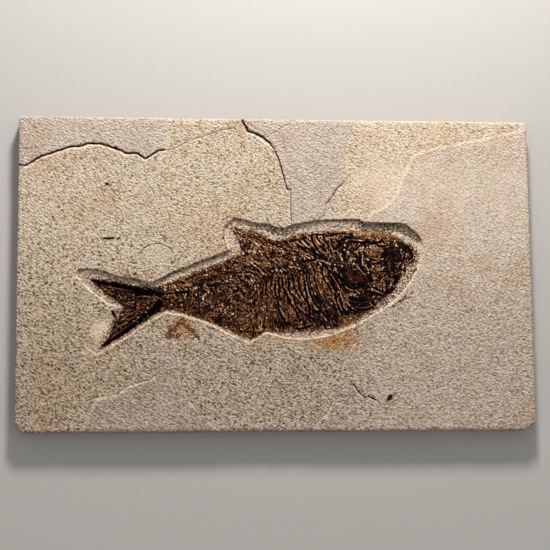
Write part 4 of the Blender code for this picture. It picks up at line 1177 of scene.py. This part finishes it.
def linear(text):
    # an sRGB hex colour as linear red, green, blue and alpha
    parts = [int(text[i:i + 2], 16) / 255 for i in (1, 3, 5)]
    return (*[c / 12.92 if c <= 0.04045 else ((c + 0.055) / 1.055) ** 2.4 for c in parts], 1)


def add(tree, kind, links=None, stops=None, **settings):
    # one node with its settings, its inputs (values or other nodes' outputs) and its ramp's stops
    made = tree.nodes.new("ShaderNode" + kind)
    for name, value in settings.items():
        setattr(made, name, value)
    for socket, value in (links or {}).items():
        if isinstance(value, bpy.types.Node):
            value = next(output for output in value.outputs if output.enabled)
        if isinstance(value, bpy.types.NodeSocket):
            tree.links.new(value, made.inputs[socket])
        else:
            made.inputs[socket].default_value = value
    if stops:
        ramp = made.color_ramp
        while len(ramp.elements) < len(stops):
            ramp.elements.new(0.5)
        for element, (place, colour) in zip(ramp.elements, stops, strict=True):
            element.position = place
            element.color = linear(colour) if isinstance(colour, str) else (colour, colour, colour, 1)
    return made


def blank(name):
    # a new material, its node tree and its shader
    material = bpy.data.materials.new(name)
    material.use_nodes = True
    return material, material.node_tree, material.node_tree.nodes["Principled BSDF"]


stoneLook = {
    "tan": "#d7c6ae", "grey": "#c4b5a8", "rust": "#c0802a", "fossilBrown": "#5c3718", "paleCutAndHighlight": "#ecd2b8",
    "seamHighlightAndScar": "#efd6bf", "crack": "#0c0704",
    "tints": [(0.34, "#b8b2aa"), (0.5, "#d3c2ab"), (0.64, "#dec7aa")],  # cool, even and warm grains
    "clouds": [(0.3, "#f3e9e1"), (0.5, "#ffffff"), (0.7, "#f3f1ee")],  # broad, faint weathering
    "bedsAndShade": [(0.4, "#35281b"), (0.5, "#7c6449"), (0.61, "#c0a98b")],  # dark to pale streaks: painted shade on the trench wall under the fish's back, and beds on the sawn sides
    # darker where the bump's grain is low: painted shade in its hollows
    "pitsAndHollowShade": [(0.26, "#54493f"), (0.39, "#cac5be"), (0.53, "#ffffff")],
    "holes": [(0.27, "#5d5146"), (0.5, "#ffffff")],
    "grainsAndHollowShade": [(0.3, "#bab3ab"), (0.5, "#f3f0ed"), (0.62, "#ffffff")],
    # sizes in millimetres
    "mottle": 30, "hue": 3.0, "grain": 1.5, "pit": 1.8, "hole": 2.7, "scrap": 1.5, "bed": 0.4,
    "bedSqueeze": (0.17, 0.17, 1),  # a bed runs six times as far along as it is thick
    "drift": -36, "stretch": 1.25,  # the grain runs down to the right
    "scrapRange": (0.32, 0.68), "wallScraps": (0.85, 1.4), "brownScraps": (0.98, 1.25),
    "greyCalm": 0.4,  # how much of the grain's contrast the grey layers keep
    "coarsePits": -0.02,  # coarse stone has slightly darker pits
    "roughness": 0.9, "reflection": 0.2,
    "relief": 2.1,  # depth of the coarsest grain in millimetres
}


def limestone():
    # split and scraped limestone: matt and sugary, tan and grey grains, small dark pits between them, and
    # painted shade where the bump's grain is low
    look = stoneLook
    material, tree, shader = blank("Limestone, split and scraped")
    where = add(tree, "TexCoord").outputs["Object"]
    turned = add(tree, "Mapping", {"Vector": where, "Rotation": (0, 0, math.radians(look["drift"])),
                                   "Scale": (look["stretch"], 1, 1)}, vector_type="TEXTURE")
    squeezed = add(tree, "Mapping", {"Vector": where, "Scale": look["bedSqueeze"]})
    mask = {key: add(tree, "Attribute", attribute_name=key).outputs["Fac"]
            for key in ("dark", "grey", "orange", "brown", "cut", "coarse", "wall", "seamHighlightAndScar")}
    cloud = {key: add(tree, "TexNoise", {"Vector": vector, "Scale": 1 / (look[key] * mm), "Detail": detail,
                                         "Roughness": sharp})
             for key, vector, detail, sharp in (
                 ("mottle", where, 3, 0.5), ("hue", where, 2, 0.6), ("scrap", where, 3, 0.6),
                 ("grain", turned, 2, 0.55), ("pit", turned, 2, 0.6), ("bed", squeezed, 2, 0.5))}
    scraps = add(tree, "MapRange", {"Value": cloud["scrap"], "From Min": look["scrapRange"][0],
                                    "From Max": look["scrapRange"][1]})

    def scattered(key, first, last):
        # a mask that breaks up into ragged flecks where it is weak
        both = add(tree, "Math", {0: mask[key], 1: scraps}, operation="ADD")
        return add(tree, "MapRange", {"Value": both, "From Min": first, "From Max": last})

    tanShare = add(tree, "MapRange", {"Value": mask["grey"], "To Min": 1, "To Max": look["greyCalm"]})
    lively = add(tree, "Math", {0: mask["coarse"], 1: tanShare}, operation="MULTIPLY")
    pitted = add(tree, "Math", {0: lively, 1: mask["wall"]}, operation="MAXIMUM")
    deeper = add(tree, "Math", {0: mask["coarse"], 1: look["coarsePits"], 2: cloud["pit"]},
                 operation="MULTIPLY_ADD")
    cells = add(tree, "TexVoronoi", {"Vector": turned, "Scale": 1 / (look["hole"] * mm)})
    picked = add(tree, "SeparateColor", {"Color": cells.outputs["Color"]})
    near = add(tree, "Math", {0: cells.outputs["Distance"], 1: picked}, operation="ADD")
    shade = {key: add(tree, "ValToRGB", {"Fac": source}, stops=look[key]) for key, source in (
        ("tints", cloud["hue"]), ("clouds", cloud["mottle"]), ("bedsAndShade", cloud["bed"]), ("pitsAndHollowShade", deeper),
        ("holes", near), ("grainsAndHollowShade", cloud["grain"]))}

    # what changes the plain tan stone, in turn: (blend, mask, how much of the mask, colour)
    coats = [
        ("MIX", mask["grey"], 1, linear(look["grey"])),
        ("MIX", lively, 0.6, shade["tints"]),
        ("MULTIPLY", 1.0, 1, shade["clouds"]),
        ("MIX", mask["orange"], 0.95, linear(look["rust"])),
        # painted shade on the trench wall under the fish's back, streaked like beds
        ("MIX", scattered("wall", *look["wallScraps"]), 1, shade["bedsAndShade"]),
        # painted shade in the low spots of the bump's grain
        ("MULTIPLY", pitted, 1, shade["pitsAndHollowShade"]),
        ("MULTIPLY", pitted, 0.85, shade["holes"]),
        # painted highlight along the layers' edges and below the cracks, and pale stone on the scar
        ("MIX", mask["seamHighlightAndScar"], 0.75, linear(look["seamHighlightAndScar"])),
        # pale cut patches in the trench, and a painted highlight along its steep walls
        ("MIX", mask["cut"], 0.85, linear(look["paleCutAndHighlight"])),
        ("MIX", scattered("brown", *look["brownScraps"]), 1, linear(look["fossilBrown"])),
        # painted shade in the low spots of the bump's grain
        ("MULTIPLY", 0.8, 1, shade["grainsAndHollowShade"]),
        # cracks and specks; the cracks' dark lines are partly painted shade
        ("MIX", mask["dark"], 1, linear(look["crack"])),
    ]
    base = linear(look["tan"])
    for blend, share, most, colour in coats:
        if most < 1:
            share = add(tree, "Math", {0: share, 1: most}, operation="MULTIPLY")
        base = add(tree, "Mix", {0: share, 6: base, 7: colour}, data_type="RGBA", blend_type=blend).outputs[2]
    tree.links.new(base, shader.inputs["Base Color"])
    shader.inputs["Roughness"].default_value = look["roughness"]
    shader.inputs["IOR"].default_value = 1.5
    shine = add(tree, "MapRange", {"Value": mask["dark"], "To Min": look["reflection"], "To Max": 0})
    tree.links.new(shine.outputs["Result"], shader.inputs["Specular IOR Level"])
    both = add(tree, "Math", {0: cloud["grain"], 1: cloud["pit"]}, operation="ADD")
    both = add(tree, "Math", {0: both, 1: mask["coarse"]}, operation="MULTIPLY")
    bump = add(tree, "Bump", {"Height": both, "Distance": look["relief"] * mm, "Strength": 1})
    tree.links.new(bump.outputs["Normal"], shader.inputs["Normal"])
    return material


boneLook = {
    # the cool grey-blacks at the dark end stand in for a sheen: painted sheen
    "tones": [(0.0, "#020203"), (0.1, "#0b0b0d"), (0.2, "#1e1712"), (0.36, "#472913"), (0.6, "#855631"),
              (0.8, "#c0a07c"), (1.0, "#f3e8da")],
    "red": "#4a0f05", "mostRed": 0.75,
    "roughness": (0.5, 0.75), "reflection": 0.0,  # roughness of the darkest and of the pale bone
    "fleck": 0.8, "flecks": (-0.22, 0.24),  # size in millimetres, and how far a fleck moves the tone
    "relief": 0.6,  # depth of the flecks in millimetres
}


def fossilBone():
    # mineralised bone, crushed flat: black to tan splinters; the shader gives them no reflection, so the cool
    # grey-black of the dark ones is painted sheen
    look = boneLook
    material, tree, shader = blank("Fossil bone, crushed and prepared")
    where = add(tree, "TexCoord").outputs["Object"]
    tone, red = (add(tree, "Attribute", attribute_name=key).outputs["Fac"] for key in ("tone", "red"))
    fleck = add(tree, "TexNoise", {"Vector": where, "Scale": 1 / (look["fleck"] * mm), "Detail": 2})
    shake = add(tree, "MapRange", {"Value": fleck, "From Min": 0.3, "From Max": 0.7,
                                   "To Min": look["flecks"][0], "To Max": look["flecks"][1]})
    much = add(tree, "MapRange", {"Value": tone, "From Max": 0.35, "To Min": 0.25, "To Max": 1})
    shake = add(tree, "Math", {0: shake, 1: much}, operation="MULTIPLY")
    moved = add(tree, "Math", {0: tone, 1: shake}, operation="ADD", use_clamp=True)
    colour = add(tree, "ValToRGB", {"Fac": moved}, stops=look["tones"])
    rusty = add(tree, "Math", {0: red, 1: look["mostRed"]}, operation="MULTIPLY")
    base = add(tree, "Mix", {0: rusty, 6: colour, 7: linear(look["red"])}, data_type="RGBA")
    tree.links.new(base.outputs[2], shader.inputs["Base Color"])
    dull = add(tree, "MapRange", {"Value": moved, "From Max": 0.8, "To Min": look["roughness"][0],
                                  "To Max": look["roughness"][1]})
    tree.links.new(dull.outputs["Result"], shader.inputs["Roughness"])
    shader.inputs["IOR"].default_value = 1.55
    shader.inputs["Specular IOR Level"].default_value = look["reflection"]
    bump = add(tree, "Bump", {"Height": fleck, "Distance": look["relief"] * mm, "Strength": 0.8})
    tree.links.new(bump.outputs["Normal"], shader.inputs["Normal"])
    return material


# everything made and given to the frame

stoneMaterial, boneMaterial = limestone(), fossilBone()
slab = makeSlab()
print("slab made", len(slab.data.polygons))
body = makeFish()
print("fish body made", len(body.data.polygons))
bonePieces = [blades(name, [(ridgeWidth * half, rise, tone, line) for half, line in bones if len(line) > 2])
              for name, (bones, rise, tone) in ridges.items()]
bonePieces += [blades("fin_rays", finShapes()), vertebrae()]
print("bones made")

slab.data.materials.append(stoneMaterial)
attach(slab, "root")
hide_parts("slab")
for piece in [body, *bonePieces]:
    piece.data.materials.append(boneMaterial)
    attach(piece, "root")
    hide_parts("fish")


# table, light and camera

tableLook = {"half": 3, "colour": "#a9a6a1", "roughness": 0.9}  # half its side in metres


def makeTable():
    # painted board: an even pale grey with no shine, so that it only takes the slab's shadow
    half = tableLook["half"]
    data = bpy.data.meshes.new("table_top")
    data.from_pydata([(-half, -half, 0), (half, -half, 0), (half, half, 0), (-half, half, 0)], [],
                     [(0, 1, 2, 3)])
    table = bpy.data.objects.new("table_top", data)
    bpy.context.collection.objects.link(table)
    material, _, shader = blank("Matt board, painted")
    shader.inputs["Base Color"].default_value = linear(tableLook["colour"])
    shader.inputs["Roughness"].default_value = tableLook["roughness"]
    data.materials.append(material)


lightPlan = {"place": (0.06, 0.92, 0.48), "size": 0.2, "power": 18.8, "colour": "#fffdfb", "air": 0.52}


def makeLights():
    # one low lamp beyond the fish's back brings out the relief, and even air fills the shadows
    plan = lightPlan
    light = bpy.data.lights.new("raking_lamp", "AREA")
    light.shape = "DISK"
    light.size, light.energy = plan["size"], plan["power"]
    light.color = linear(plan["colour"])[:3]
    lamp = bpy.data.objects.new("raking_lamp", light)
    lamp.location = plan["place"]
    lamp.rotation_euler = (-Vector(plan["place"])).to_track_quat("-Z", "Y").to_euler()
    bpy.context.collection.objects.link(lamp)
    world = bpy.data.worlds.new("studio air")
    world.use_nodes = True
    world.node_tree.nodes["Background"].inputs["Color"].default_value = (1, 1, 1, 1)
    world.node_tree.nodes["Background"].inputs["Strength"].default_value = plan["air"]
    bpy.context.scene.world = world


view = {"lens": 96.64, "turns": (-8.267, 4.977, -0.197), "offset": (2.605, 1.849), "distance": 1306.1}


def makeCamera():
    aboutX, aboutY, aboutZ = (math.radians(a) for a in view["turns"])
    turn = (Matrix.Rotation(aboutZ, 3, "Z") @ Matrix.Rotation(aboutY, 3, "Y")
            @ Matrix.Rotation(aboutX, 3, "X")).transposed()
    data = bpy.data.cameras.new("camera")
    data.lens, data.sensor_width = view["lens"], 36
    camera = bpy.data.objects.new("camera", data)
    place = turn @ Vector((-view["offset"][0], -view["offset"][1], view["distance"])) * mm
    face = Vector((0, 0, slabShape["lowestLayer"] * mm))
    camera.matrix_world = Matrix.Translation(face + place) @ turn.to_4x4()
    bpy.context.collection.objects.link(camera)
    bpy.context.scene.camera = camera


makeTable()
makeLights()
makeCamera()
bpy.context.scene.view_settings.view_transform = "Standard"
print("stage made")
